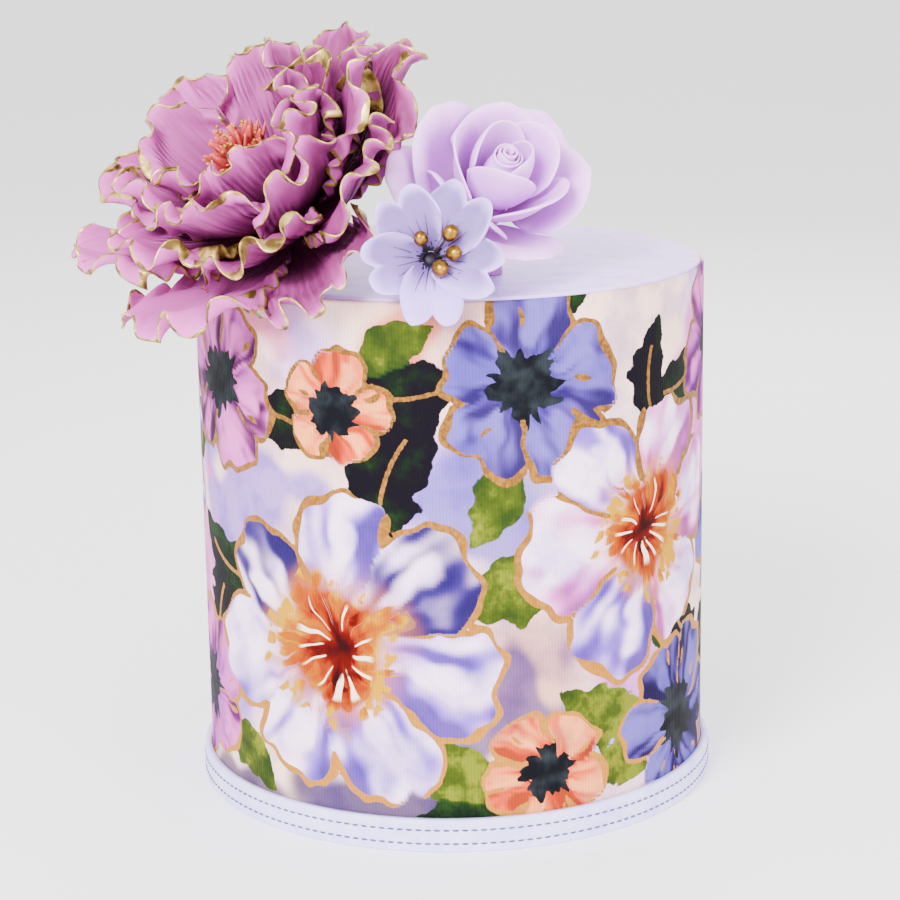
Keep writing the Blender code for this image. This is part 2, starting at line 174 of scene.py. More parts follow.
class Recipe:
    """The nodes of one material, added by short calls."""

    ROWS = 10
    COLUMN_STEP = 220
    ROW_STEP = 190

    def __init__(self, name: str) -> None:
        """Makes the material with its Principled shader.

        Args:
            name: The material's name.
        """
        self.material = bpy.data.materials.new(name)
        self.material.use_nodes = True
        self.tree = self.material.node_tree
        self.shader = self.tree.nodes["Principled BSDF"]
        self.place = self.node("ShaderNodeTexCoord", output="Object")

    def feed(self, socket: bpy.types.NodeSocket, value: Signal | Colour | float) -> None:
        """Links a signal to a socket, or sets the socket to a value."""
        if isinstance(value, Signal):
            self.tree.links.new(value.socket, socket)
        else:
            socket.default_value = value

    def node(
        self,
        kind: str,
        settings: Mapping[str, object] | None = None,
        sockets: Mapping[int | str, Signal | Colour | float] | None = None,
        output: int | str = 0,
    ) -> Signal:
        """Adds any node.

        Args:
            kind: The node's type.
            settings: Its properties, set first. "stops" is a ramp's list of places and colours.
            sockets: Values or signals for its inputs, by place or name.
            output: The output that is wanted, by place or name.

        Returns:
            The node's output.
        """
        made = self.tree.nodes.new(kind)
        count = len(self.tree.nodes)
        made.location = (-self.COLUMN_STEP * (2 + count // self.ROWS), self.ROW_STEP * (count % self.ROWS))
        for name, setting in (settings or {}).items():
            if name == "stops":
                stops = made.color_ramp.elements
                for place, colour in setting[1:-1]:
                    stops.new(place)
                for stop, (place, colour) in zip(stops, setting):
                    stop.position = place
                    stop.color = colour
            else:
                setattr(made, name, setting)
        for name, value in (sockets or {}).items():
            self.feed(made.inputs[name], value)
        return Signal(self, made.outputs[output])

    def noise(self, size: float, detail: float = 2.0, where: Signal | None = None) -> Signal:
        """Cloudy noise from 0 to 1.

        Args:
            size: How far apart its clouds lie, in metres or in the units of where.
            detail: How many finer layers it has.
            where: Its coordinates, the piece's own place if none are given.

        Returns:
            The noise.
        """
        sockets = {"Vector": where or self.place, "Scale": 1 / size, "Detail": detail}
        return self.node("ShaderNodeTexNoise", None, sockets)

    def cells(self, size: float, output: str, where: Signal | None = None) -> Signal:
        """Voronoi cells of about the given size, read at the named output."""
        sockets = {"Vector": where or self.place, "Scale": 1 / size}
        return self.node("ShaderNodeTexVoronoi", None, sockets, output)

    def value(self, name: str) -> Signal:
        """A number that the piece keeps at its points under a name."""
        return self.node("ShaderNodeAttribute", {"attribute_name": name}, None, "Fac")

    def colour(self, name: str) -> Signal:
        """A colour that the piece keeps at its points under a name."""
        return self.node("ShaderNodeAttribute", {"attribute_name": name}, None, "Color")

    def mix(
        self, share: Signal | float, first: Signal | Colour, second: Signal | Colour, blend: str = "MIX"
    ) -> Signal:
        """Goes from the first colour to the second as the share goes from 0 to 1."""
        settings = {"data_type": "RGBA", "blend_type": blend}
        return self.node("ShaderNodeMix", settings, {0: share, 6: first, 7: second}, 2)

    def ramp(self, share: Signal, *stops: tuple[float, Colour]) -> Signal:
        """A colour ramp with the given stops."""
        return self.node("ShaderNodeValToRGB", {"stops": list(stops)}, {0: share})

    def vector(self, operation: str, *terms: Signal | Point, output: str = "Vector") -> Signal:
        """One Vector Math node of the named operation on the terms."""
        return self.node("ShaderNodeVectorMath", {"operation": operation}, dict(enumerate(terms)), output)

    def bump(self, height: Signal, depth: float, beneath: Signal | None = None) -> Signal:
        """A Normal from a height of 0 to 1 and its depth in metres, over another Normal if one is given."""
        sockets = {"Height": height, "Distance": depth}
        if beneath:
            sockets["Normal"] = beneath
        return self.node("ShaderNodeBump", None, sockets)

    def dress(self, **sockets: Signal | Colour | float) -> bpy.types.Material:
        """Sets the shader's sockets, whose names are written with low lines, and gives the material."""
        for name, value in sockets.items():
            self.feed(self.shader.inputs[name.replace("_", " ").title().replace("Ior", "IOR")], value)
        return self.material


PASTE_GLEAM = 0.3
PETAL_GLEAM = 0.22
PRINT_GLEAM = 0.06


@dataclass(frozen=True)
class PasteFinish:
    """Sugar paste or fondant: a soft, faintly mottled satin surface."""

    name: str
    colour: Colour
    shade: Colour
    roughness: float = 0.5
    mottle: float = 9 * MM
    grain: float = 0.7 * MM
    grain_depth: float = 0.05 * MM
    glow: float = 0.12

    def material(self) -> bpy.types.Material:
        """The finished material."""
        recipe = Recipe(self.name)
        cloud = recipe.noise(self.mottle, 3)
        tint = recipe.mix(cloud.rise(0.35, 0.7), self.colour, self.shade)
        grain = recipe.bump(recipe.noise(self.grain, 2), self.grain_depth)
        dent = recipe.bump(recipe.noise(self.mottle, 1), self.grain_depth * 6, grain)
        return recipe.dress(
            base_color=tint,
            roughness=cloud.rise(0, 1) * 0.12 + (self.roughness - 0.06),
            normal=dent,
            specular_ior_level=PASTE_GLEAM,
            subsurface_weight=self.glow,
            subsurface_scale=2 * MM,
        )


@dataclass(frozen=True)
class PetalFinish:
    """Dusted sugar paste on a petal: deep at its foot from dust and painted shade, pale at its rim from dust
    and a painted highlight, streaked along its length.

    gold_line, gold_patch and gold_crest are how many millimetres of the rim are gilded: anywhere, in
    some patches, and on the crests of its waves.
    """

    name: str
    deep: Colour
    body: Colour
    dusky_and_shaded: Colour
    edge: Colour
    deep_end: float
    streak: float
    edge_start: float = 0.80
    deep_shade_shift: float = 0.0
    gilded: bool = False
    gold_line: float = 0.75
    gold_patch: float = 5.0
    gold_crest: float = 1.9
    gold_deep: Colour = paint(96, 74, 28)
    gold_light: Colour = paint(208, 178, 100)
    pleat_shade: float = 0.0
    roughness: float = 0.55
    vein_colour: Colour | None = None

    PLEATS = 112.0
    PLEAT_DEPTH = 0.35 * MM
    STREAK_WIDTH = 0.035
    DUST_SPACING = 1.9 * MM
    GILT_METAL = 0.6
    GILT_POLISH = 0.16

    def material(self) -> bpy.types.Material:
        """The finished material.

        Returns:
            A material that reads the petal's UV map, its rim, its tone with painted side shade, and its vein
            values.
        """
        recipe = Recipe(self.name)
        uv = recipe.node("ShaderNodeTexCoord", output="UV")
        along = uv.part("Y")
        rim = recipe.value("rim")
        lengthwise = recipe.vector("MULTIPLY", uv, (1, self.STREAK_WIDTH, 1))
        streaks = recipe.noise(self.STREAK_WIDTH, 3, lengthwise)
        clouds = recipe.noise(11 * MM, 3)
        body = self._dust_and_painted_light(recipe, along, rim, streaks, clouds)
        grain = recipe.bump(streaks, self.streak * MM, recipe.bump(recipe.noise(0.6 * MM), 0.04 * MM))
        if self.pleat_shade:
            pleat = self._pleats(recipe, uv.part("X"), along)
            # Painted shade: the pleats' grooves are darkened towards the deep colour.
            body = recipe.mix(pleat.rise(0.0, 1.0) * self.pleat_shade, body, self.deep)
            grain = recipe.bump(pleat, -self.PLEAT_DEPTH, grain)
        if self.vein_colour:
            body = self._veins(recipe, along, body)
        roughness = clouds * 0.15 + (self.roughness - 0.08)
        metallic = 0.0
        if self.gilded:
            gold = self._gold_mask(recipe, rim)
            leaf = recipe.mix(recipe.noise(4.5 * MM, 3).rise(0.36, 0.66), self.gold_deep, self.gold_light)
            body = recipe.mix(gold, body, leaf)
            roughness = roughness - gold * self.GILT_POLISH
            metallic = gold * self.GILT_METAL
        return recipe.dress(
            base_color=body,
            roughness=roughness,
            metallic=metallic,
            normal=grain,
            specular_ior_level=PETAL_GLEAM,
            subsurface_weight=0.12,
            subsurface_scale=1.5 * MM,
        )

    def _dust_and_painted_light(self, recipe: Recipe, along: Signal, rim: Signal, streaks: Signal, clouds: Signal) -> Signal:
        """The paste's colour with deep dust and painted shade at the foot, pale dust and a painted highlight
        at the rim, and painted shade on one side.

        Args:
            recipe: The material's nodes.
            along: The share of the petal's length.
            rim: The distance to the rim in millimetres.
            streaks: Noise along the petal.
            clouds: Soft noise.

        Returns:
            The colour.
        """
        # The dusky colour follows the tone value: a random tone with painted shade on the petals towards one
        # side of the flower.
        tone = (recipe.value("tone") + (clouds - 0.5) * 0.5).rise(0, 1)
        body = recipe.mix(tone, self.body, self.dusky_and_shaded)
        # The deep colour at the foot is dust and painted shade; it reaches further up where the side shade
        # lies.
        reach = along + (streaks - 0.5) * self.streak + (clouds - 0.5) * 0.12 - tone * self.deep_shade_shift
        body = recipe.mix(reach.rise(0.02, self.deep_end), self.deep, body)
        # The pale colour at the rim is dust and a painted highlight.
        near_rim = 1 - (rim + clouds * 3).rise(1.0, 5.5)
        pale = (reach.rise(self.edge_start, 1.02) * 0.55 + near_rim * 0.6).least(1)
        body = recipe.mix(pale, body, self.edge)
        return recipe.mix(streaks.rise(0.55, 0.75) * 0.15, body, self.deep)

    def _pleats(self, recipe: Recipe, across: Signal, along: Signal) -> Signal:
        """Fine pleats pressed along the petal in patches, about -1 to 1.

        Args:
            recipe: The material's nodes.
            across: The share of the petal's width.
            along: The share of the petal's length.

        Returns:
            The pleats' height.
        """
        lines = ((across + (recipe.noise(20 * MM, 1) - 0.5) * 0.04) * self.PLEATS).sine()
        patch = recipe.noise(36 * MM, 1).rise(0.50, 0.58)
        return lines * patch * along.rise(0.12, 0.35) * (1 - along.rise(0.80, 0.94))

    def _veins(self, recipe: Recipe, along: Signal, body: Signal) -> Signal:
        """Paints the veins, fainter towards the rim, and scatters a little of their dust.

        Args:
            recipe: The material's nodes.
            along: The share of the petal's length.
            body: The colour beneath.

        Returns:
            The colour.
        """
        vein = recipe.value("vein") + (recipe.noise(0.8 * MM) - 0.5) * 0.25
        strength = 0.95 - along.rise(0.1, 0.6) * 0.40
        body = recipe.mix(vein.rise(-0.14, 0.10) * strength, body, self.vein_colour)
        dust = 1 - recipe.cells(self.DUST_SPACING, "Distance").rise(0.14, 0.22)
        dust = dust * recipe.noise(8 * MM, 1).rise(0.54, 0.62) * (1 - along.rise(0.45, 0.7))
        return recipe.mix(dust * 0.7, body, self.vein_colour)

    def _gold_mask(self, recipe: Recipe, rim: Signal) -> Signal:
        """Where gold dust lies: a broken line along the rim, wider on its crests and in some patches.

        Args:
            recipe: The material's nodes.
            rim: The distance to the rim in millimetres.

        Returns:
            1 under the gold and 0 elsewhere.
        """
        uneven = recipe.noise(7 * MM, 2)
        patch = recipe.noise(26 * MM, 1)
        crest = recipe.value("crest").rise(0.15, 1.0) * uneven.rise(0.38, 0.62)
        width = uneven * (2.2 * self.gold_line) - 0.30 + patch.rise(0.60, 0.70) * self.gold_patch
        ragged = (recipe.noise(1.4 * MM, 2) - 0.5) * 0.4
        return (width + crest * self.gold_crest + ragged - rim).rise(-0.08, 0.12)


@dataclass(frozen=True)
class GoldFinish:
    """Gold dust brushed over a bead: bright, a little uneven, worn to a darker ground in specks."""

    name: str = "gilt_bead"

    def material(self) -> bpy.types.Material:
        """The finished material."""
        recipe = Recipe(self.name)
        brushed = recipe.noise(1.4 * MM, 4)
        specks = recipe.cells(1.1 * MM, "Distance")
        worn = (1 - specks.rise(0.08, 0.2)) * recipe.noise(2.2 * MM).rise(0.5, 0.6)
        gold = recipe.mix(brushed.rise(0.3, 0.7), paint(108, 74, 26), paint(166, 124, 46))
        return recipe.dress(
            base_color=recipe.mix(worn, gold, paint(48, 30, 20)),
            roughness=brushed * 0.2 + 0.24,
            metallic=1 - worn * 0.8,
            normal=recipe.bump(brushed, 0.12 * MM),
        )


@dataclass(frozen=True)
class StamenFinish:
    """Coral paste on the stamens: deep at the foot, paler at the tip, with seeds of gold pollen."""

    name: str = "coral_stamen"

    def material(self) -> bpy.types.Material:
        """The finished material, which reads the values tip and seed."""
        recipe = Recipe(self.name)
        tip = recipe.value("tip") + (recipe.noise(1.5 * MM) - 0.5) * 0.35
        coral = recipe.ramp(
            tip, (0.0, paint(84, 6, 14)), (0.45, paint(140, 32, 42)), (0.8, paint(180, 60, 62)),
            (1.0, paint(224, 104, 88)),
        )
        seed = recipe.value("seed")
        dust = (recipe.noise(1.0 * MM).rise(0.60, 0.68) * tip.rise(0.5, 0.9) * 0.8).most(seed)
        gold = recipe.mix(recipe.noise(0.7 * MM), paint(82, 58, 16), paint(206, 166, 60))
        return recipe.dress(
            base_color=recipe.mix(dust, coral, gold),
            roughness=0.55 - seed * 0.15,
            metallic=dust * 0.5,
            normal=recipe.bump(recipe.noise(0.5 * MM), 0.06 * MM),
            specular_ior_level=PETAL_GLEAM,
            subsurface_weight=0.15,
            subsurface_scale=1.0 * MM,
        )


@dataclass(frozen=True)
class PrintFinish:
    """The print on the sheet: washes from the sheet's points, with crisp painted marks and fine ribs, painted
    shade in the ribs' hollows, and gold that carries a painted reflection, lighter low down.
    """

    name: str = "painted_sheet"
    ribs: float = 500.0
    rib_depth: float = 0.05 * MM
    rays: float = 13.0
    dab_size: float = 0.36
    cream: Colour = paint(255, 226, 200)

    def material(self) -> bpy.types.Material:
        """The finished material.

        Returns:
            A material that reads the sheet's wash, leaf, olive, spike, middle and gilt values.
        """
        recipe = Recipe(self.name)
        rough_edge = (recipe.noise(2.2 * MM, 3) - 0.5) * 1.6
        pools = recipe.noise(9 * MM, 4)
        fine = recipe.noise(1.6 * MM, 3)
        wet = self._pooling(recipe, recipe.noise(15 * MM, 4))
        tint = recipe.mix(0.6, recipe.colour("wash"), wet, "MULTIPLY")
        tint = self._leaves(recipe, tint, rough_edge, pools, fine)
        tint = self._hearts(recipe, tint, rough_edge)
        tint = self._spikes(recipe, tint, rough_edge, pools)
        gold = (recipe.value("gilt") + (fine - 0.5) * 0.4).rise(-0.10, 0.10)
        # Painted reflection: the printed gold is lighter low on the sheet, as if it mirrored the pale floor,
        # and darker higher up.
        height = recipe.place.part("Z")
        gilt = recipe.mix(height.rise(20 * MM, 150 * MM), paint(172, 112, 36), paint(102, 66, 26))
        gilt = recipe.mix(fine.rise(0.35, 0.65) * 0.35, gilt, paint(190, 132, 50))
        tint = recipe.mix(gold, tint, gilt)
        turn = recipe.place.part("X").math("ARCTAN2", recipe.place.part("X"), recipe.place.part("Y"))
        rib = (turn * self.ribs).sine() * 0.5 + 0.5
        # Painted shade: the colour darkens a little in the hollows between the ribs.
        tint = recipe.mix((1 - rib) * 0.5, tint, paint(228, 220, 232), "MULTIPLY")
        return recipe.dress(
            base_color=tint,
            roughness=0.62 - gold * 0.14,
            metallic=gold * 0.25,
            normal=recipe.bump(rib, self.rib_depth, recipe.bump(fine, 0.04 * MM)),
            specular_ior_level=PRINT_GLEAM,
        )

    def _pooling(self, recipe: Recipe, pools: Signal) -> Signal:
        """Grey that is darker where the wet colour has pooled and lighter between."""
        return recipe.ramp(
            pools, (0.30, paint(140, 122, 206)), (0.44, paint(206, 192, 240)), (0.52, paint(246, 240, 252)),
            (0.62, paint(255, 255, 255)),
        )

    def _leaves(self, recipe: Recipe, tint: Signal, edge: Signal, pools: Signal, fine: Signal) -> Signal:
        """Paints the leaves, from bottle green to olive, with wet lights in them.

        Args:
            recipe: The material's nodes.
            tint: The colour beneath.
            edge: What makes the edges ragged.
            pools: Soft noise.
            fine: Fine noise.

        Returns:
            The colour.
        """
        olive = recipe.value("olive") + (pools - 0.5) * 1.1 + (fine - 0.5) * 0.25
        green = recipe.ramp(
            olive, (0.0, paint(8, 4, 13)), (0.18, paint(9, 22, 9)), (0.42, paint(24, 50, 15)),
            (0.64, paint(38, 54, 12)), (0.84, paint(60, 74, 13)), (1.0, paint(106, 114, 22)),
        )
        mask = (recipe.value("leaf") + edge * 1.2).rise(-0.2, 0.2)
        return recipe.mix(mask, tint, green)

    def _hearts(self, recipe: Recipe, tint: Signal, edge: Signal) -> Signal:
        """Strokes of crimson, orange and yellow round the middles of the large flowers, with pale rays.

        Args:
            recipe: The material's nodes.
            tint: The colour beneath.
            edge: What makes the edges ragged.

        Returns:
            The colour.
        """
        middle = recipe.colour("middle")
        reach = recipe.vector("LENGTH", middle, output="Value")
        ray = recipe.vector("NORMALIZE", middle)
        place = recipe.vector("ADD", ray, middle)
        side = recipe.noise(1.1, 1, place)
        dab = recipe.cells(self.dab_size, "Color", place).part("X")
        from_dab = recipe.cells(self.dab_size, "Distance", place)
        wet = recipe.noise(0.22, 2, place)
        blots = recipe.noise(0.30, 2, middle)
        stroke = (dab - 0.5) * 0.24 + (side - 0.5) * 1.2 + (wet - 0.5) * 0.30
        hue = reach * 0.98 + stroke * reach.rise(0.05, 0.45) + (blots - 0.5) * 0.8
        warm = recipe.ramp(
            hue, (0.04, paint(36, 0, 2)), (0.28, paint(84, 4, 0)), (0.37, paint(122, 26, 0)),
            (0.54, paint(148, 54, 0)), (0.74, paint(162, 86, 0)), (0.92, paint(184, 134, 0)),
        )
        halo = 1 - (reach + edge * 0.05).rise(0.8, 1.4)
        tint = recipe.mix(halo * 0.45, tint, paint(222, 120, 60))
        cover = (1.10 - reach - (dab - 0.45) * 0.36 + (blots - 0.5) * 0.8 + edge * 0.06).rise(0.0, 0.09)
        cover = cover * (1 - from_dab.rise(0.50, 0.62) * reach.rise(0.70, 0.9) * 0.7)
        tint = recipe.mix(cover, tint, warm)
        turn = middle.part("X").math("ARCTAN2", middle.part("X"), middle.part("Y"))
        rays = (turn * self.rays + recipe.noise(0.5, 2, ray) * 9.0).sine().rise(0.74, 0.86)
        rays = rays * recipe.noise(0.28, 1, ray).rise(0.42, 0.48)
        rays = rays * (reach + (blots - 0.5) * 0.5).rise(0.26, 0.32) * (1 - reach.rise(0.60, 0.72))
        return recipe.mix(rays, tint, self.cream)

    def _spikes(self, recipe: Recipe, tint: Signal, edge: Signal, pools: Signal) -> Signal:
        """The dark bursts in the middles of the small flowers.

        Args:
            recipe: The material's nodes.
            tint: The colour beneath.
            edge: What makes the edges ragged.
            pools: Soft noise.

        Returns:
            The colour.
        """
        dark = recipe.mix(pools.rise(0.40, 0.66), paint(6, 7, 13), paint(32, 38, 42))
        mask = (recipe.value("spike") + edge * 0.8).rise(-0.15, 0.2)
        return recipe.mix(mask, tint, dark)


@dataclass(frozen=True)
class FloorFinish:
    """The pale ground that the cake stands on."""

    name: str = "pale_floor"

    def material(self) -> bpy.types.Material:
        """The finished material."""
        recipe = Recipe(self.name)
        cloud = recipe.noise(0.4, 2)
        tint = recipe.mix(cloud, paint(246, 246, 248), paint(250, 250, 251))
        return recipe.dress(base_color=tint, roughness=0.8)


def hand_over(
    name: str,
    bm: bmesh.types.BMesh,
    material: bpy.types.Material | Sequence[bpy.types.Material],
    nodes: Iterable[str],
    values: Mapping[str, Array] | None = None,
) -> bpy.types.Object:
    """Makes a finished piece of a bmesh, which is freed, and sets it in the place of its solids.

    Args:
        name: The piece's name.
        bm: Its mesh, already in place.
        material: Its material, or several in the order of the faces' numbers.
        nodes: The solids that it stands for.
        values: Numbers or colours for its points, by name.

    Returns:
        The piece.
    """
    mesh = bpy.data.meshes.new(name)
    bm.to_mesh(mesh)
    bm.free()
    mesh.shade_smooth()
    for title, numbers in (values or {}).items():
        keep_values(mesh, title, numbers)
    made = bpy.data.objects.new(name, mesh)
    for each in [material] if isinstance(material, bpy.types.Material) else material:
        mesh.materials.append(each)
    bpy.context.scene.collection.objects.link(made)
    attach(made, BODY)
    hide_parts(*nodes)
    log.info("%s: %d faces", name, len(mesh.polygons))
    return made


def keep_values(mesh: bpy.types.Mesh, name: str, numbers: Array) -> None:
    """Keeps one number or one colour for each point of a mesh under a name.

    Args:
        mesh: The mesh.
        name: What a finish reads them by.
        numbers: One row for each point.
    """
    if numbers.ndim == 1:
        mesh.attributes.new(name, "FLOAT", "POINT").data.foreach_set("value", numbers.astype(np.float32))
    else:
        kept = mesh.attributes.new(name, "FLOAT_COLOR", "POINT")
        kept.data.foreach_set("color", numbers.astype(np.float32).ravel())


def points_of(bm: bmesh.types.BMesh) -> Array:
    """The places of a bmesh's points."""
    return np.array([vert.co for vert in bm.verts])


def move_points(bm: bmesh.types.BMesh, points: Array) -> None:
    """Puts a bmesh's points in new places."""
    for vert, point in zip(bm.verts, points):
        vert.co = point


def turned(profile: Sequence[Pair], steps: int, closed: bool) -> bmesh.types.BMesh:
    """A profile spun round the Z axis.

    Args:
        profile: Its points as radius and height.
        steps: How many steps the turn has.
        closed: Whether the last point joins the first.

    Returns:
        The closed mesh, with its faces out.
    """
    bm = bmesh.new()
    corners = [bm.verts.new((radius, 0, height)) for radius, height in profile]
    ends = corners[1:] + corners[:1] if closed else corners[1:]
    edges = [bm.edges.new(pair) for pair in zip(corners, ends)]
    bmesh.ops.spin(
        bm, geom=corners + edges, cent=(0, 0, 0), axis=(0, 0, 1), angle=TAU, steps=steps, use_merge=True
    )
    bmesh.ops.remove_doubles(bm, verts=bm.verts, dist=0.001 * MM)
    bmesh.ops.recalc_face_normals(bm, faces=bm.faces)
    return bm


def arc(centre: Pair, radius: float, start_deg: float, end_deg: float, steps: int) -> list[Pair]:
    """Points of a round corner in radius and height."""
    turns = np.radians(np.linspace(start_deg, end_deg, steps + 1))
    return [(centre[0] + radius * math.cos(turn), centre[1] + radius * math.sin(turn)) for turn in turns]


def flat_sheet(columns: int, rows: int) -> tuple[bmesh.types.BMesh, Array, Array]:
    """A flat grid with its UV map.

    Args:
        columns: How many faces it has across.
        rows: How many it has along.

    Returns:
        The grid, and each point's place across it, from -1 to 1, and along it, from 0 to 1.
    """
    bm = bmesh.new()
    bm.loops.layers.uv.new("petal")
    bmesh.ops.create_grid(bm, x_segments=columns, y_segments=rows, size=1, calc_uvs=True)
    flat = points_of(bm)
    return bm, flat[:, 0], (flat[:, 1] + 1) / 2


def moved(points: Array, matrix: Matrix) -> Array:
    """Points taken through a matrix."""
    place = np.array(matrix)
    return points @ place[:3, :3].T + place[:3, 3]


def aimed(along: Vector) -> Matrix:
    """The turn that brings +Z into a direction."""
    return along.to_track_quat("Z", "Y").to_matrix().to_4x4()


def add_rod(bm: bmesh.types.BMesh, foot: Vector, end: Vector, radii: Pair, sides: int) -> None:
    """Adds a capped cone from foot to end, with its radius at each.

    Args:
        bm: The mesh that it is added to.
        foot: The middle of its first cap.
        end: The middle of its last one.
        radii: Its radius at foot and end.
        sides: How many sides it has.
    """
    along = end - foot
    place = Matrix.Translation((foot + end) / 2) @ aimed(along)
    bmesh.ops.create_cone(
        bm, cap_ends=True, segments=sides, radius1=radii[0], radius2=radii[1],
        depth=along.length, matrix=place,
    )


def give_thickness(sheet: bpy.types.Object, thickness: float) -> bpy.types.SolidifyModifier:
    """Turns an open sheet into paste of a thickness, half of it on each side.

    Args:
        sheet: The piece as an open sheet.
        thickness: How thick it gets, in metres.

    Returns:
        The modifier that does it.
    """
    paste = sheet.modifiers.new("paste", "SOLIDIFY")
    paste.thickness = thickness
    paste.offset = 0
    return paste


@dataclass
class FondantDrum:
    """The cake under its rolled fondant, with a soft shoulder at the top edge."""

    edge_round: float = 0.9 * MM
    steps: int = 224
    rings: int = 40
    shoulder: float = 0.22 * MM
    shoulder_inset: float = 4.5 * MM
    shoulder_width: float = 1.6 * MM
    sag: float = 0.25 * MM
    finish: PasteFinish = PasteFinish(
        "lilac_fondant", paint(220, 188, 255), paint(206, 170, 252), roughness=0.42, grain_depth=0.03 * MM
    )

    def build(self) -> bpy.types.Object:
        """The drum, in place."""
        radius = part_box("cake")[1].x
        level = CAKE_HEIGHT - self.edge_round
        flat = [(r, CAKE_HEIGHT) for r in np.linspace(0, radius - self.edge_round, self.rings)]
        corner = arc((radius - self.edge_round, level), self.edge_round, 90, 0, 6)
        profile = flat[:-1] + corner + [(radius, 0), (0, 0)]
        bm = turned(profile, self.steps, False)
        points = points_of(bm)
        away = np.hypot(points[:, 0], points[:, 1])
        top = smooth(points[:, 2], level, CAKE_HEIGHT) * smooth(radius - away, 0, 3 * MM)
        near = (away - radius + self.shoulder_inset) / self.shoulder_width
        points[:, 2] += top * self.shoulder * np.exp(-(near**2))
        swell = np.sin(points[:, 0] / (19 * MM) + 1.0) * np.sin(points[:, 1] / (23 * MM) + 0.4)
        points[:, 2] -= top * self.sag * (0.5 + 0.5 * swell)
        move_points(bm, points)
        return hand_over("fondant_drum", bm, self.finish.material(), ["cake"])


class PrintCanvas:
    """What is printed at each point of the sheet. All lengths on it are in millimetres."""

    ROUND = TAU * SHEET_RADIUS / MM
    RIPPLES = 14
    OUTSIDE = -9.0

    def __init__(self, points: Array) -> None:
        """Unrolls the sheet.

        Args:
            points: The places of the sheet's points, in metres.
        """
        self.around = np.arctan2(points[:, 0], -points[:, 1]) * SHEET_RADIUS / MM
        self.height = points[:, 2] / MM
        count = len(points)
        self.wash = np.tile(np.array(paint(250, 214, 196)), (count, 1))
        self.lay(smooth(self.ripple(3, 60), -0.3, 1.5), np.array(paint(180, 138, 232)))
        self.lay(0.8 * smooth(self.ripple(5, 80), 0.0, 1.4), np.array(paint(206, 146, 122)))
        self.gilt = np.full(count, self.OUTSIDE)
        self.leaf = np.full(count, self.OUTSIDE)
        self.olive = np.zeros(count)
        self.spike = np.full(count, self.OUTSIDE)
        self.middle = np.tile(np.array([-self.OUTSIDE, 0.0, 0.0, 1.0]), (count, 1))

    def offset(self, around: float, height: float) -> tuple[Array, Array]:
        """How far each point lies to the right of a place, the short way round, and above it."""
        half = self.ROUND / 2
        return (self.around - around + half) % self.ROUND - half, self.height - height

    def ripple(self, seed: int, size: float) -> Array:
        """Seamless soft noise of about -1 to 1.

        Args:
            seed: Which noise it is.
            size: How far apart its waves lie.

        Returns:
            The noise at each point.
        """
        dice = random.Random(seed)
        total = np.zeros_like(self.around)
        for _ in range(self.RIPPLES):
            heading = dice.uniform(0, math.pi)
            pitch = size * dice.uniform(0.7, 1.7)
            turns = round(self.ROUND / pitch * math.cos(heading))
            climb = math.sin(heading) / pitch
            phase = dice.uniform(0, TAU)
            total += np.sin(TAU * (turns * self.around / self.ROUND + climb * self.height) + phase)
        return total / math.sqrt(self.RIPPLES)

    def lay(self, cover: Array, colour: Array) -> None:
        """Lays a colour over the washes, where cover goes from 0 to 1."""
        self.wash += (colour - self.wash) * cover[:, None]

    def clear(self, inside: Array) -> None:
        """Takes away the crisp marks inside a new motif, where inside is over 0.

        Args:
            inside: How far within the motif's rim each point lies.
        """
        for marks in (self.gilt, self.leaf, self.spike):
            np.minimum(marks, -inside, out=marks)
        self.middle[inside > 0] = (-self.OUTSIDE, 0, 0, 1)


class Heart(Enum):
    """How the middle of a printed flower is painted."""

    GLOWING = "glowing"
    SPIKY = "spiky"


@dataclass(frozen=True)
class PrintedWash:
    """A pool of thin colour: its middle, its half width and height, its colour and its strength."""

    around: float
    height: float
    wide: float
    tall: float
    colour: Colour
    strength: float = 0.8

    def print_on(self, canvas: PrintCanvas) -> None:
        """Lays the pool on the canvas.

        Args:
            canvas: The sheet's print.
        """
        right, up = canvas.offset(self.around, self.height)
        seed = round(abs(self.around) * 7 + self.height)
        reach = 1 - np.hypot(right / self.wide, up / self.tall) + 0.28 * canvas.ripple(seed, 22)
        canvas.lay(self.strength * smooth(reach, 0, 0.45), np.array(self.colour))


@dataclass(frozen=True)
class PrintedLeaf:
    """A painted leaf: its foot, its length and width, its heading in degrees, and how olive it is."""

    around: float
    height: float
    length: float
    wide: float
    heading: float
    olive: float
    bend: float = 0.12

    def print_on(self, canvas: PrintCanvas) -> None:
        """Paints the leaf, with part of its midrib in gold.

        Args:
            canvas: The sheet's print.
        """
        right, up = canvas.offset(self.around, self.height)
        turn = math.radians(self.heading)
        share = (right * math.cos(turn) + up * math.sin(turn)) / self.length
        on_leaf = np.clip(share, 0, 1)
        aside = up * math.cos(turn) - right * math.sin(turn)
        aside = aside - self.bend * self.length * np.sin(math.pi * on_leaf)
        half = self.wide / 2 * np.sin(math.pi * on_leaf**0.8) ** 0.9
        half = half * (1 + 0.13 * canvas.ripple(round(self.heading) + 40, 9))
        past = np.abs(share - on_leaf) * self.length
        inside = np.where(past > 0, -np.hypot(past, aside), half - np.abs(aside))
        over = smooth(inside - np.maximum(canvas.leaf, -2.0), -0.8, 0.8)
        canvas.olive = canvas.olive + (self.olive - canvas.olive) * over
        canvas.gilt = np.minimum(canvas.gilt, -inside)
        canvas.leaf = np.maximum(canvas.leaf, inside)
        if self.olive <= 0.5:
            off_rib = np.maximum(0.05 - share, share - 0.70) * self.length
            canvas.gilt = np.maximum(canvas.gilt, 0.75 - np.hypot(aside, np.maximum(off_rib, 0)))


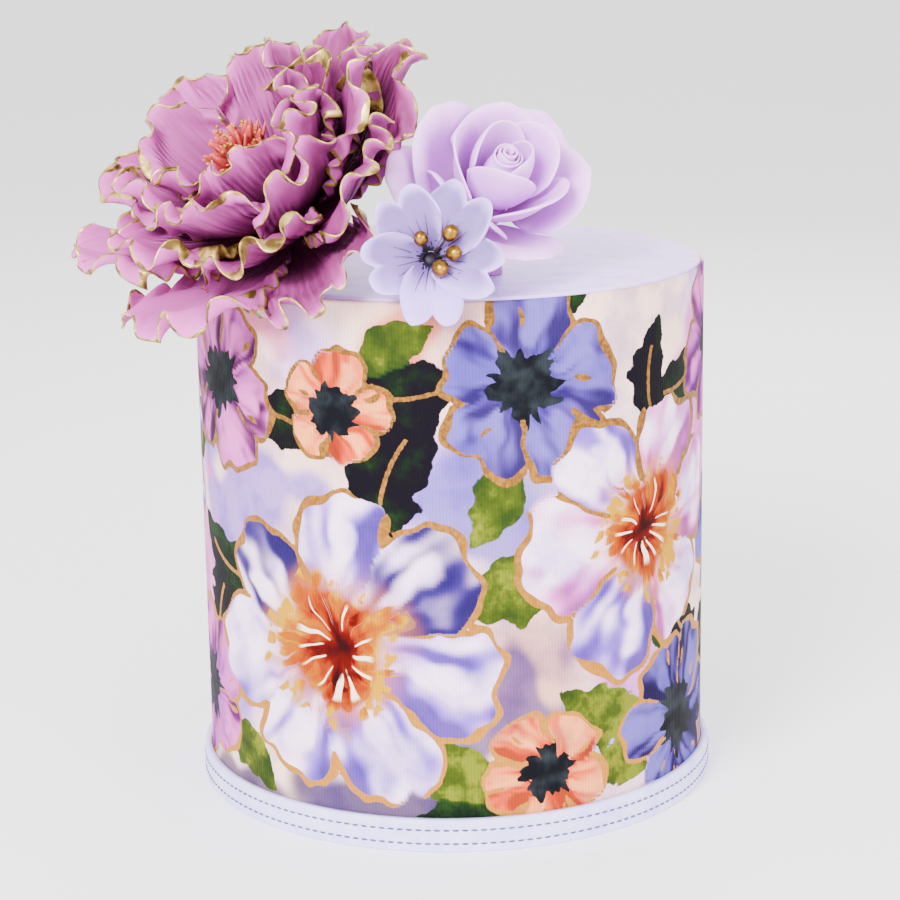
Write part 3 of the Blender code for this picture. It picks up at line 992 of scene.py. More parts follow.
@dataclass
class FlowerField:
    """How each point of the sheet lies to one painted flower.

    right, up and away are millimetres from its middle, and turn is the direction there. rim is how
    far out the painted rim lies, and inside how far within it the point lies. number is the petal,
    side goes from -1 to 1 across it, and share from 0 at the middle to 1 at the rim.
    """

    right: Array
    up: Array
    away: Array
    turn: Array
    rim: Array
    inside: Array
    number: Array
    side: Array

    @property
    def share(self) -> Array:
        """The share of the way from the middle to the rim."""
        return self.away / self.rim


@dataclass(frozen=True)
class PrintedFlower:
    """A painted flower with gold outlines.

    Its place is millimetres round the cake from the front, to the viewer's right, and above the
    cake's foot. Each leaf that starts behind it is a heading in degrees, a length and how olive it is.
    """

    around: float
    height: float
    radius: float
    petals: int
    turn: float
    light: Colour
    deep: Colour
    heart: Heart
    leaves: tuple[Point, ...] = ()
    other: Colour | None = None
    heart_share: float = 0.44
    notch: float = 0.26
    gilt_width: float = 0.7

    STROKES = 11
    STREAK_ORDERS = (9, 14, 23, 31)

    @property
    def seed(self) -> int:
        """A number of the flower's own, from its place."""
        return round(abs(self.around) * 13 + self.height * 3 + self.petals)

    def rim_at(self, turn: Array) -> Array:
        """How far the painted rim lies from the middle in each direction.

        Args:
            turn: The directions.

        Returns:
            The distances in millimetres.
        """
        dice = random.Random(self.seed)
        swell = sum(0.05 * np.cos(order * turn + dice.uniform(0, TAU)) for order in (1, 2, 3))
        sector, side = self.sector_at(turn)
        lobes = 0.022 * np.sin(3 * math.pi * side + 2 * sector % self.petals)
        fringe = 1 - np.abs(side) ** 6
        return self.radius * (1 + swell) * (1 - self.notch * np.abs(side) ** 4 + lobes * fringe)

    def sector_at(self, turn: Array) -> tuple[Array, Array]:
        """The petal in each direction, and the place across it from -1 to 1."""
        sector = turn * self.petals / TAU
        return np.floor(sector), 2 * (sector - np.floor(sector)) - 1

    def print_on(self, canvas: PrintCanvas) -> None:
        """Paints the flower over what is there.

        Args:
            canvas: The sheet's print.
        """
        right, up = canvas.offset(self.around, self.height)
        right = right + 1.5 * canvas.ripple(self.seed, 28) + 0.55 * canvas.ripple(self.seed + 8, 9)
        up = up + 1.5 * canvas.ripple(self.seed + 1, 28) + 0.55 * canvas.ripple(self.seed + 9, 9)
        away = np.hypot(right, up)
        turn = (np.arctan2(up, right) - math.radians(self.turn)) % TAU
        rim = self.rim_at(turn)
        slope = (self.rim_at(turn + 0.01) - rim) / 0.01 / np.maximum(away, 4)
        inside = (rim - away) / np.sqrt(1 + np.minimum(slope**2, 9))
        sector, side = self.sector_at(turn)
        field = FlowerField(right, up, away, turn, rim, inside, sector.astype(int) % self.petals, side)
        self._petals(canvas, field)
        self._gold(canvas, field)
        if self.heart is Heart.GLOWING:
            self._glow(canvas, field)
        else:
            self._burst(canvas, field)

    def _petals(self, canvas: PrintCanvas, field: FlowerField) -> None:
        """Lays the petals' washes, streaked from the middle out, with deeper overlaps and wet edges.

        Args:
            canvas: The sheet's print.
            field: How each point lies to the flower.
        """
        share, side = field.share, field.side
        dice = random.Random(self.seed + 2)
        streaks = np.zeros_like(share)
        for order in self.STREAK_ORDERS:
            bend = dice.uniform(-2.5, 2.5)
            streaks += np.sin(order * field.turn + bend * share * 4 + dice.uniform(0, TAU)) / 4
        draws = [
            (dice.uniform(0.1, 0.6), dice.choice((-1, 1)), dice.uniform(-0.35, 0.35), dice.random())
            for _ in range(self.petals)
        ]
        depth, lit, gleam_side, hue = np.array(draws)[field.number].T
        overlap = smooth(side * lit, 0.15, 1.0)
        foot = 1 - smooth(share, 0.25, 0.75)
        clouds = canvas.ripple(self.seed + 3, 17)
        deepness = depth + 0.65 * overlap * smooth(share, 0.1, 0.8) + 0.30 * foot + 0.26 * clouds
        deepness += 0.42 * streaks * smooth(share, 0.1, 0.5)
        gleam = smooth(0.30 - np.abs(side - gleam_side) + 0.10 * clouds, 0, 0.22)
        gleam *= smooth(share, 0.34, 0.44) * (1 - smooth(share, 0.76, 0.86))
        deepness = np.clip(deepness, 0, 1) ** 1.15 * (1 - 0.85 * gleam)
        deepness = np.maximum(deepness, 0.45 * np.exp(-((field.inside / 0.9) ** 2)))
        light, deep = np.array(self.light), np.array(self.deep)
        other = np.array(self.other or self.deep)
        deep = deep + (other - deep) * smooth(hue, 0.45, 0.55)[:, None]
        colour = light + (deep - light) * smooth(deepness, 0, 0.8)[:, None]
        colour[:, :3] *= 1 - 0.5 * smooth(deepness, 0.66, 1.0)[:, None]
        canvas.clear(field.inside)
        canvas.lay(smooth(field.inside, -0.6, 0.6), colour)

    def _gold(self, canvas: PrintCanvas, field: FlowerField) -> None:
        """Draws the gold: an uneven line along most of the rim, and lines between some petals.

        Args:
            canvas: The sheet's print.
            field: How each point lies to the flower.
        """
        uneven = canvas.ripple(self.seed + 4, 14)
        width = (self.gilt_width + 0.009 * self.radius) * (1 + 0.34 * uneven)
        gaps = smooth(canvas.ripple(self.seed + 5, 34), -1.2, -0.85)
        outline = width * gaps - 0.3 * (1 - gaps) - np.abs(field.inside)
        dice = random.Random(self.seed + 6)
        drawn = np.array([dice.random() < 0.7 for _ in range(self.petals)])
        starts = np.array([dice.uniform(0.42, 0.62) for _ in range(self.petals)])
        border = np.where(field.side > 0, field.number, (field.number - 1) % self.petals)
        across = field.away * (1 - np.abs(field.side)) * math.pi / self.petals
        keep = drawn[border] & (field.share > starts[border]) & (field.share < 1)
        between_petals = np.where(keep, 0.8 * width - across, canvas.OUTSIDE)
        canvas.gilt = np.maximum(canvas.gilt, np.maximum(outline, between_petals))

    def _glow(self, canvas: PrintCanvas, field: FlowerField) -> None:
        """Keeps each point's place in the middle, where the finish paints warm strokes.

        Args:
            canvas: The sheet's print.
            field: How each point lies to the flower.
        """
        here = field.inside > 0
        size = self.radius * self.heart_share
        canvas.middle[here, 0] = field.right[here] / size
        canvas.middle[here, 1] = field.up[here] / size

    def _burst(self, canvas: PrintCanvas, field: FlowerField) -> None:
        """Sets a dark burst in the middle, in a ring of gold strokes.

        Args:
            canvas: The sheet's print.
            field: How each point lies to the flower.
        """
        size = self.radius * self.heart_share
        away = field.away
        dice = random.Random(self.seed + 7)
        burst = sum(np.sin(order * field.turn + dice.uniform(0, TAU)) for order in (5, 11, 17)) / 3
        canvas.spike = np.maximum(canvas.spike, size * (0.85 + 0.32 * burst) - away)
        sector = field.turn * self.STROKES / TAU
        number = np.floor(sector).astype(int) % self.STROKES
        kept = np.array([dice.random() < 0.6 for _ in range(self.STROKES)])[number]
        ring = size * np.array([dice.uniform(1.35, 1.75) for _ in range(self.STROKES)])[number]
        step = sector % 1 - 0.5
        from_stroke = np.hypot((away - ring) * 0.28, step * TAU / self.STROKES * away)
        mark = np.where(kept & (field.inside > 0), 0.85 - from_stroke, canvas.OUTSIDE)
        canvas.gilt = np.maximum(canvas.gilt, mark)

    def leaf_motifs(self) -> list[PrintedLeaf]:
        """The leaves that start behind the flower."""
        made = []
        foot = self.radius * 0.72
        for heading, length, olive in self.leaves:
            turn = math.radians(heading)
            around = self.around + foot * math.cos(turn)
            height = self.height + foot * math.sin(turn)
            reach = length * 1.2 + self.radius * 0.28
            made.append(PrintedLeaf(around, height, reach, length * 0.85, heading, olive))
        return made


SNOW = paint(255, 226, 255)
MIST = paint(180, 134, 232)
SKY = paint(104, 90, 172)
PERIWINKLE = paint(60, 42, 112)
SHADE = paint(124, 88, 196)
VIOLET = paint(36, 19, 74)
PLUM = paint(78, 26, 72)
ORCHID = paint(124, 24, 122)
BLUSH = paint(214, 104, 184)
PEACH = paint(200, 68, 30)
APRICOT = paint(238, 146, 92)
GLOW = Heart.GLOWING
BURST = Heart.SPIKY


WASHES = (
    (-80, 108, 40, 30, SHADE, 0.8),
    (10, 112, 32, 34, SKY, 0.85),
    (-4, 12, 66, 24, VIOLET, 0.9),
    (16, 46, 30, 22, PERIWINKLE, 0.8),
    (112, 128, 28, 44, BLUSH, 0.9),
    (-16, 168, 18, 20, PEACH, 0.75),
    (-62, 172, 16, 14, PEACH, 0.6),
    (58, 54, 22, 16, BLUSH, 0.7),
    (122, 24, 44, 24, PERIWINKLE, 0.8),
    (-120, 80, 26, 36, BLUSH, 0.85),
    (-84, 8, 34, 16, VIOLET, 0.8),
    (196, 100, 44, 30, SHADE, 0.7),
    (250, 20, 60, 22, VIOLET, 0.8),
    (-200, 84, 40, 30, SKY, 0.8),
    (-170, 20, 46, 20, PLUM, 0.65),
)

# From the first painted to the last, which lies over the others
FLOWERS = (
    (-92, 148, 30, 6, 20, BLUSH, PLUM, BURST, ((100, 20, 0.1), (-20, 22, 0.1), (215, 20, 0.7))),
    (24, 152, 31, 5, 50, SKY, PERIWINKLE, BURST, ((178, 28, 0.0), (250, 20, 0.8), (60, 16, 0.3))),
    (124, 154, 28, 5, 10, BLUSH, ORCHID, BURST, ((190, 24, 0.2), (-60, 20, 0.5))),
    (90, 30, 31, 6, 30, SKY, VIOLET, BURST, ((160, 24, 0.9), (30, 24, 0.1), (100, 18, 0.4))),
    (-112, 38, 29, 5, 70, BLUSH, ORCHID, BURST, ((60, 24, 0.0), (190, 22, 0.6), (-30, 20, 0.8))),
    (30, 24, 22, 5, 15, APRICOT, PEACH, BURST, ((200, 24, 0.2), (-10, 18, 0.9), (250, 16, 0.6))),
    (-38, 144, 19, 5, 40, APRICOT, PEACH, BURST, ((-64, 22, 0.1), (40, 20, 0.7))),
    (134, 88, 24, 5, 0, SKY, PERIWINKLE, BURST, ((-90, 20, 0.1), (70, 20, 0.9))),
    (-40, 66, 53, 7, 12, SNOW, SHADE, GLOW, ((66, 30, 0.0), (-50, 24, 0.8), (155, 22, 0.2)), PERIWINKLE),
    (70, 100, 46, 6, 38, SNOW, SHADE, GLOW, ((-66, 28, 0.1), (84, 20, 0.0), (190, 26, 0.8)), BLUSH),
    (-162, 112, 46, 6, 5, SNOW, SHADE, GLOW, ((-70, 24, 0.0), (60, 24, 0.8), (200, 20, 0.1)), BLUSH),
    (180, 48, 46, 7, 22, SNOW, VIOLET, GLOW, ((80, 24, 0.1), (200, 20, 0.9), (-20, 20, 0.2)), SHADE),
    (-186, 34, 29, 5, 33, BLUSH, PLUM, BURST, ((110, 24, 0.1), (200, 20, 0.8))),
    (188, 142, 33, 6, 12, MIST, PERIWINKLE, BURST, ((-70, 26, 0.2), (170, 20, 0.0), (40, 20, 0.8))),
    (-224, 150, 27, 5, 60, BLUSH, ORCHID, BURST, ((-80, 22, 0.0), (20, 20, 0.5))),
    (254, 98, 47, 6, 50, SNOW, SHADE, GLOW, ((-100, 26, 0.1), (100, 24, 0.8), (20, 20, 0.0)), PERIWINKLE),
    (246, 24, 22, 5, 10, APRICOT, PEACH, BURST, ((30, 20, 0.8), (150, 20, 0.1))),
    (-232, 52, 26, 5, 25, SKY, PERIWINKLE, BURST, ((60, 20, 0.1), (250, 20, 0.7))),
)


@dataclass
class PrintedSheet:
    """The printed sheet round the cake's side, one sleeve with its own generic flower print."""

    steps: int = 520
    rows: int = 168
    thickness: float = 0.8 * MM
    finish: PrintFinish = PrintFinish()
    washes: tuple[PrintedWash, ...] = tuple(PrintedWash(*row) for row in WASHES)
    flowers: tuple[PrintedFlower, ...] = tuple(PrintedFlower(*row) for row in FLOWERS)

    def build(self) -> bpy.types.Object:
        """The sleeve, with its print kept at its points."""
        inner = SHEET_RADIUS - self.thickness
        wall = [(SHEET_RADIUS, z) for z in np.linspace(SHEET_TOP, SHEET_BOTTOM, self.rows)]
        profile = wall + [(inner, SHEET_BOTTOM), (inner, SHEET_TOP)]
        bm = turned(profile, self.steps, True)
        canvas = PrintCanvas(points_of(bm))
        for wash in self.washes:
            wash.print_on(canvas)
        for flower in self.flowers:
            for leaf in flower.leaf_motifs():
                leaf.print_on(canvas)
        for flower in self.flowers:
            flower.print_on(canvas)
        titles = ("wash", "gilt", "leaf", "olive", "spike", "middle")
        values = {title: getattr(canvas, title) for title in titles}
        return hand_over("print_sleeve", bm, self.finish.material(), ["printed_sheet"], values)


@dataclass
class StitchedBand:
    """The rolled band round the foot, pressed in along two rows of stitches."""

    stitches: int = 185
    steps_each: int = 4
    round_top: float = 1.2 * MM
    round_foot: float = 0.6 * MM
    rows: tuple[float, ...] = (3.0 * MM, 7.6 * MM)
    groove: float = 0.22 * MM
    groove_width: float = 0.55 * MM
    stitch_length: float = 2.3 * MM
    stitch_radius: float = 0.34 * MM
    finish: PasteFinish = PasteFinish(
        "band_fondant", paint(212, 206, 255), paint(196, 186, 252), roughness=0.46, grain_depth=0.04 * MM
    )
    # Painted shade: the stitches' dark paste stands for the shade inside the pressed marks.
    stitch_shade: PasteFinish = PasteFinish(
        "painted_stitch_shade", paint(92, 74, 120), paint(76, 60, 104), roughness=0.6, mottle=2 * MM
    )

    def build(self) -> None:
        """Makes the band and its stitches."""
        inner = SHEET_RADIUS + FIT_GAP
        outer = BAND_RADIUS
        steps = self.stitches * self.steps_each
        top = arc((outer - self.round_top, BAND_HEIGHT - self.round_top), self.round_top, 90, 0, 6)
        wall = [(outer, z) for z in np.linspace(top[-1][1], self.round_foot, 34)][1:-1]
        foot = arc((outer - self.round_foot, self.round_foot), self.round_foot, 0, -90, 3)
        bm = turned([(inner, BAND_HEIGHT)] + top + wall + foot + [(inner, 0)], steps, True)
        points = points_of(bm)
        turn = np.arctan2(points[:, 1], points[:, 0])
        away = np.hypot(points[:, 0], points[:, 1])
        outside = smooth(away, inner + 0.5 * MM, outer - 0.3 * MM)
        pull = 0.55 + 0.45 * np.cos(turn * self.stitches)
        press = sum(np.exp(-(((points[:, 2] - row) / self.groove_width) ** 2)) for row in self.rows)
        away_new = away - outside * self.groove * press * pull
        away_new -= outside * 0.10 * MM * (0.5 + 0.5 * np.sin(turn * 7 + 1) * np.sin(points[:, 2] / (4 * MM)))
        points[:, :2] *= (away_new / away)[:, None]
        move_points(bm, points)
        hand_over("rolled_band", bm, self.finish.material(), ["base_band"])
        self._sew()

    def _sew(self) -> None:
        """Lays the stitches in their two rows, dark as painted shade inside the pressed marks."""
        bm = bmesh.new()
        dice = random.Random(12)
        for row in self.rows:
            for number in range(self.stitches):
                turn = TAU * (number + 0.5) / self.stitches
                place = Matrix.Rotation(turn, 4, "Z") @ Matrix.Translation((BAND_RADIUS - 0.08 * MM, 0, row))
                tilt = Matrix.Rotation(dice.uniform(-0.04, 0.04), 4, "X")
                shape = (self.stitch_radius, self.stitch_length / 2, self.stitch_radius, 1)
                bmesh.ops.create_uvsphere(
                    bm, u_segments=6, v_segments=6, radius=1, matrix=place @ tilt @ Matrix.Diagonal(shape)
                )
        hand_over("band_stitches", bm, self.stitch_shade.material(), ["base_band"])


@dataclass(frozen=True)
class Fan:
    """Where a flower stands and how its petals fan out from its core.

    start, middle and end are a petal's angles from the flower's axis at its foot, half-way and at its
    rim, in degrees, and each pair is for the innermost petal and the outermost one. Each lift is a
    direction round the axis and how far the outermost petal there is raised towards the axis.
    """

    centre: Point
    axis: Point
    core_radius: float
    petals: int
    start: Pair
    middle: Pair
    end: Pair
    length: Pair
    width: Pair
    base_width: float
    thickness: float
    ruffle: Pair
    waves: float
    round_off: float
    first: float
    seed: int
    lifts: tuple[Pair, ...] = ()
    notch: float = 0.0
    step: float = GOLDEN_ANGLE

    @property
    def matrix(self) -> Matrix:
        """Places the flower: its +Z is its axis, and its +X points to the side that leans low."""
        up = Vector(self.axis).normalized()
        low = (Vector((up.x, up.y, 0)) - up * (up.x**2 + up.y**2)).normalized()
        side = up.cross(low)
        turn = Matrix((low, side, up)).transposed().to_4x4()
        return Matrix.Translation(self.centre) @ turn


@dataclass(frozen=True)
class Trim:
    """How a petal's free rim is cut, curled and rolled, and how its face is ridged.

    curl turns the last curl_zone of the petal back and forth by up to that many radians, in lobes
    that lie a curl_pitch apart. overhang moves the lobes' flanks towards each other, which rounds
    them. crinkle is a finer wave on top. roll turns the whole rim back. thin_rim is the rim's share
    of the petal's thickness.
    """

    curl: float
    curl_zone: float
    curl_pitch: float
    scallop: float
    ridge_pitch: float
    thin_rim: float
    overhang: float = 0.0
    crinkle: float = 0.0
    roll: Pair = (0.0, 0.0)
    side_wave: float = 0.0
    side_roll: float = 0.0
    point: float = 0.0
    ridge: float = 0.0


@dataclass
class PetalDraw:
    """The seeded differences of one petal."""

    turn: float
    length: float
    width: float
    phase: list[float]


@dataclass
class SugarFlower:
    """A flower of sugar petals that are set round a core, each one a thin curved sheet of paste."""

    LIFT_RISE = 0.4
    LIFT_POWER = 4
    ROUND_POWER = 2.6
    BELLY_PLACE = 0.8
    BELLY_TURN = 0.62 * math.pi
    BELLY_POWER = 0.9
    PROFILE_STEPS = 48
    REST_HEIGHT = CAKE_HEIGHT + 1.2 * MM
    REST_SOFTNESS = 2.5 * MM
    REST_REACH = 2.0 * MM
    REST_EDGE = 1.0 * MM
    TURN_STRAY = 0.07
    LENGTHS = (0.86, 1.0)
    WIDTHS = (0.93, 1.07)
    POINT_WIDTH = 0.13
    CRINKLE_PACE = 0.37
    FULL_FROM_RIM = 4 * MM
    NO_VEIN = -5.0

    fan: Fan
    trim: Trim
    finish: PetalFinish
    title: str
    slot: Slot
    nodes: tuple[str, ...]
    columns: int
    rows: int
    rounding: int = 0
    # tone gives each petal a random tone; side_shade_span along side_shade_axis adds painted shade towards
    # one side of the flower.
    tone: Pair = (0.0, 1.0)
    side_shade_span: Pair = (0.0, 1.0)
    side_shade_axis: int = 0

    def draws(self) -> list[PetalDraw]:
        """The differences of all petals, in the order of the petals."""
        dice = random.Random(self.fan.seed)
        return [
            PetalDraw(
                dice.uniform(-self.TURN_STRAY, self.TURN_STRAY),
                dice.uniform(*self.LENGTHS),
                dice.uniform(*self.WIDTHS),
                [dice.uniform(0, TAU) for _ in range(4)],
            )
            for _ in range(self.fan.petals)
        ]

    def share_of(self, index: int) -> float:
        """0 for the innermost petal and 1 for the outermost one."""
        return index / (self.fan.petals - 1)

    def lean(self, share: float, azimuth: Array) -> Array:
        """How far a petal is raised towards the axis, in radians.

        Args:
            share: 0 for the innermost petal and 1 for the outermost one.
            azimuth: The direction of each point round the axis.

        Returns:
            The angle at each point.
        """
        raised = np.zeros_like(azimuth)
        for towards, turn in self.fan.lifts:
            nearness = (1 + np.cos(azimuth - math.radians(towards))) / 2
            raised += math.radians(turn) * nearness**self.LIFT_POWER
        return share * raised

    def fan_angle(self, share: float, along: Array, azimuth: Array) -> Array:
        """The angle between the axis and a petal, along its length from 0 to 1.

        Args:
            share: 0 for the innermost petal and 1 for the outermost one.
            along: The share of the length at each point.
            azimuth: The direction of each point round the axis.

        Returns:
            The angle at each point, in radians.
        """
        fan = self.fan
        start, middle, end = (math.radians(between(pair, share)) for pair in (fan.start, fan.middle, fan.end))
        bend = start * (1 - along) * (1 - 2 * along) + 4 * middle * along * (1 - along)
        bend += end * along * (2 * along - 1)
        return bend - self.lean(share, azimuth) * np.minimum(1, along / self.LIFT_RISE)

    def section(
        self,
        share: float,
        length: float,
        along: Array,
        azimuth: Array,
        curl: Array,
        rim: Array,
    ) -> tuple[Array, Array, Array]:
        """Follows the petal out from its foot.

        Args:
            share: 0 for the innermost petal and 1 for the outermost one.
            length: The petal's length.
            along: The share of the length at each point.
            azimuth: The direction of each point round the axis.
            curl: How far the rim beyond each point turns, in radians.
            rim: The share of the length where the rim beyond each point lies.

        Returns:
            The distance from the axis, the height and the angle of the petal's middle surface.
        """
        steps = np.linspace(0, 1, self.PROFILE_STEPS + 1)
        travelled = along[:, None] * steps
        angles = self.fan_angle(share, travelled, azimuth[:, None])
        from_rim = (rim[:, None] - travelled) * length
        near_rim = np.clip(1 - from_rim / self.trim.curl_zone, 0, 1)
        angles = angles + curl[:, None] * near_rim**1.5
        stride = (length * along / self.PROFILE_STEPS)[:, None]
        across = ((np.sin(angles[:, 1:]) + np.sin(angles[:, :-1])) / 2 * stride).sum(axis=1)
        upward = ((np.cos(angles[:, 1:]) + np.cos(angles[:, :-1])) / 2 * stride).sum(axis=1)
        foot = self.fan.core_radius + FIT_GAP + self.fan.thickness / 4
        return (
            foot * np.sin(angles[:, 0]) + across,
            foot * np.cos(angles[:, 0]) + upward,
            angles[:, -1],
        )

    def frill(self, phase: Sequence[float], u: Array, v: Array) -> Array:
        """The broad waves along a petal's rim and sides, as a share of the ruffle's depth.

        Args:
            phase: Four phases, for the rim's two waves and the two sides.
            u: -1 to 1 across the petal.
            v: 0 to 1 along it.

        Returns:
            The waves at each point.
        """
        waves = self.fan.waves * math.pi
        along_rim = np.sin(waves * u + phase[0]) + 0.45 * np.sin(2.1 * waves * u + phase[1])
        side_phase = np.where(u < 0, phase[2], phase[3])
        along_side = np.sin(1.6 * math.pi * v + side_phase)
        return v**2.2 * along_rim + 0.6 * np.abs(u) ** 3 * v * along_side

    def phase_across(self, dice: random.Random, u: Array, width: float, pitch: float) -> Array:
        """The uneven phase of waves across a petal, whose crests lie about a pitch apart.

        Args:
            dice: The petal's own random draws.
            u: -1 to 1 across the petal.
            width: Half the petal's width.
            pitch: How far apart the crests lie.

        Returns:
            The phase at each point.
        """
        turns = TAU * width / pitch
        bend = dice.uniform(0.6, 1.4) * np.sin(dice.uniform(1.2, 2.4) * u + dice.uniform(0, TAU))
        return turns * u + bend + dice.uniform(0, TAU)

    def waves_across(self, dice: random.Random, u: Array, width: float, pitch: float) -> Array:
        """Uneven waves across a petal, about -1 to 1."""
        phase = self.phase_across(dice, u, width, pitch)
        return 0.75 * np.sin(phase) + 0.35 * np.sin(1.73 * phase + dice.uniform(0, TAU))

    def half_width(self, along: Array, width: float) -> Array:
        """Half a petal's width along it, from its foot to its belly and its end."""
        belly = np.sin(along**self.BELLY_PLACE * self.BELLY_TURN) ** self.BELLY_POWER
        return self.fan.base_width + (width - self.fan.base_width) * belly

    def outline_across(self, u: Array) -> Array:
        """How far out the petal reaches across its width, as a share of its length."""
        return 1 - self.fan.round_off * np.abs(u) ** self.ROUND_POWER

    def face_relief(self, u: Array, v: Array, half: Array) -> Array:
        """Extra relief of a kind of flower, in metres along the surface's normal."""
        return np.zeros_like(u)

    def petal_points(
        self, index: int, draw: PetalDraw, u: Array, v: Array
    ) -> tuple[Array, Array, Array]:
        """Shapes one petal.

        Args:
            index: The petal's place, from the innermost out.
            draw: Its own differences.
            u: -1 to 1 across the petal.
            v: 0 to 1 along it.

        Returns:
            The points in the flower's own frame, each point's distance to the free rim, and how far up
            a crest of the rim's waves it lies.
        """
        fan, trim = self.fan, self.trim
        share = self.share_of(index)
        dice = random.Random(1000 * fan.seed + index)
        azimuth = fan.first + index * fan.step + draw.turn
        length = between(fan.length, share)
        width = between(fan.width, share) * draw.width
        phase = self.phase_across(dice, u, width, trim.curl_pitch)
        swing = 0.78 + 0.22 * np.sin(dice.uniform(2.0, 4.0) * u + dice.uniform(0, TAU))
        outline = self.outline_across(u)
        cut = trim.scallop * (np.sin(phase + 0.6) + 0.5 * np.sin(2.3 * phase + dice.uniform(0, TAU)))
        cut = cut + trim.point * share * np.exp(-((u / self.POINT_WIDTH) ** 2))
        rim = outline * draw.length * (1 + cut)
        along = v * outline * draw.length * (1 + v**3 * cut)
        half = self.half_width(np.clip(along, 0, 1), width)
        to_end = (rim - along) * length
        near_rim = np.clip(1 - to_end / trim.curl_zone, 0, 1)
        still = np.zeros_like(u)
        middle_radius, _, _ = self.section(share, length, along, np.full_like(u, azimuth), still, rim)
        shift = -trim.overhang * swing * np.sin(2 * phase) * near_rim**1.5
        turned_by = azimuth + (u * half + shift) / middle_radius
        curl = trim.curl * (0.85 + 0.15 * share) * swing * np.sin(phase)
        curl = curl + between(trim.roll, share)
        radius, height, angle = self.section(share, length, along, turned_by, curl, rim)
        offset = between(fan.ruffle, share) * self.frill(draw.phase, u, v)
        offset = offset + self._side_waves(dice, u, v, length)
        offset = offset + trim.side_roll * share * np.abs(u) ** 5 * smooth(v, 0.15, 0.7)
        fine = self.waves_across(dice, u, width, trim.curl_pitch * self.CRINKLE_PACE)
        offset = offset + trim.crinkle * fine * near_rim**2
        ridges = (0.2 + 1.2 * dice.random() ** 2) * self.waves_across(dice, u, width, trim.ridge_pitch)
        offset = offset + trim.ridge * ridges * np.sin(math.pi * np.clip(v * 0.95 + 0.03, 0, 1)) ** 0.7
        offset = offset + self.face_relief(u, v, half)
        radius = radius + offset * np.cos(angle)
        height = height - offset * np.sin(angle)
        points = np.stack([radius * np.cos(turned_by), radius * np.sin(turned_by), height], axis=1)
        to_side = (1 - np.abs(u)) * half + 20 * MM * (1 - smooth(v, 0.12, 0.4))
        return points, np.minimum(to_end, to_side), np.abs(np.sin(phase)) * swing * near_rim

    def _side_waves(self, dice: random.Random, u: Array, v: Array, length: float) -> Array:
        """Small waves along both sides of a petal.

        Args:
            dice: The petal's own random draws.
            u: -1 to 1 across the petal.
            v: 0 to 1 along it.
            length: The petal's length.

        Returns:
            Their height at each point.
        """
        turns = TAU * length / self.trim.curl_pitch
        left, right = dice.uniform(0, TAU), dice.uniform(0, TAU)
        wave = np.sin(turns * v + np.where(u < 0, left, right))
        return self.trim.side_wave * np.abs(u) ** 4 * smooth(v, 0.2, 0.6) * wave

    def rest_on_cake(self, points: Array) -> Array:
        """Lifts what would sink into the fondant, where it lies over the cake.

        Args:
            points: The petal's points, in place, which are changed.

        Returns:
            The same points.
        """
        outside = np.hypot(points[:, 0], points[:, 1]) - SHEET_RADIUS - self.REST_REACH
        over = 1 / (1 + np.exp(outside / self.REST_EDGE))
        above = (points[:, 2] - self.REST_HEIGHT) / self.REST_SOFTNESS
        rested = self.REST_HEIGHT + self.REST_SOFTNESS * np.logaddexp(0, above)
        points[:, 2] += (rested - points[:, 2]) * over
        return points

    def build_petals(self) -> None:
        """Makes every petal as a piece of its own."""
        material = self.finish.material()
        dice = random.Random(77 + self.fan.seed)
        for index, draw in enumerate(self.draws()):
            bm, u, v = flat_sheet(self.columns, self.rows)
            local, to_rim, crest = self.petal_points(index, draw, u, v)
            world = self.rest_on_cake(moved(local, self.fan.matrix))
            move_points(bm, world)
            bmesh.ops.recalc_face_normals(bm, faces=bm.faces)
            # A random tone for each petal, plus painted shade that grows towards one side of the flower.
            tone = between(self.tone, dice.random())
            tone = tone + smooth(world[:, self.side_shade_axis], *self.side_shade_span)
            values = {"rim": to_rim / MM, "crest": crest, "tone": tone, "vein": self.vein_marks(u, v)}
            node = self.nodes[min(index, len(self.nodes) - 1)]
            name = f"{self.title}_petal_{index + 1:02d}"
            petal = hand_over(name, bm, material, [node], values)
            self.thicken(petal, to_rim)

    def vein_marks(self, u: Array, v: Array) -> Array:
        """How far inside a painted vein each point lies, in millimetres, and below 0 outside."""
        return np.full_like(u, self.NO_VEIN)

    def thicken(self, petal: bpy.types.Object, to_rim: Array) -> None:
        """Gives a petal its thickness, less at its rim, and rounds it.

        Args:
            petal: The petal as an open sheet.
            to_rim: Each point's distance to the free rim.
        """
        group = petal.vertex_groups.new(name="full")
        for index, weight in enumerate(smooth(to_rim, 0, self.FULL_FROM_RIM)):
            group.add([index], float(weight), "REPLACE")
        paste = give_thickness(petal, self.fan.thickness)
        paste.vertex_group = "full"
        paste.thickness_vertex_group = self.trim.thin_rim
        if self.rounding:
            soft = petal.modifiers.new("soft", "SUBSURF")
            soft.levels = soft.render_levels = self.rounding


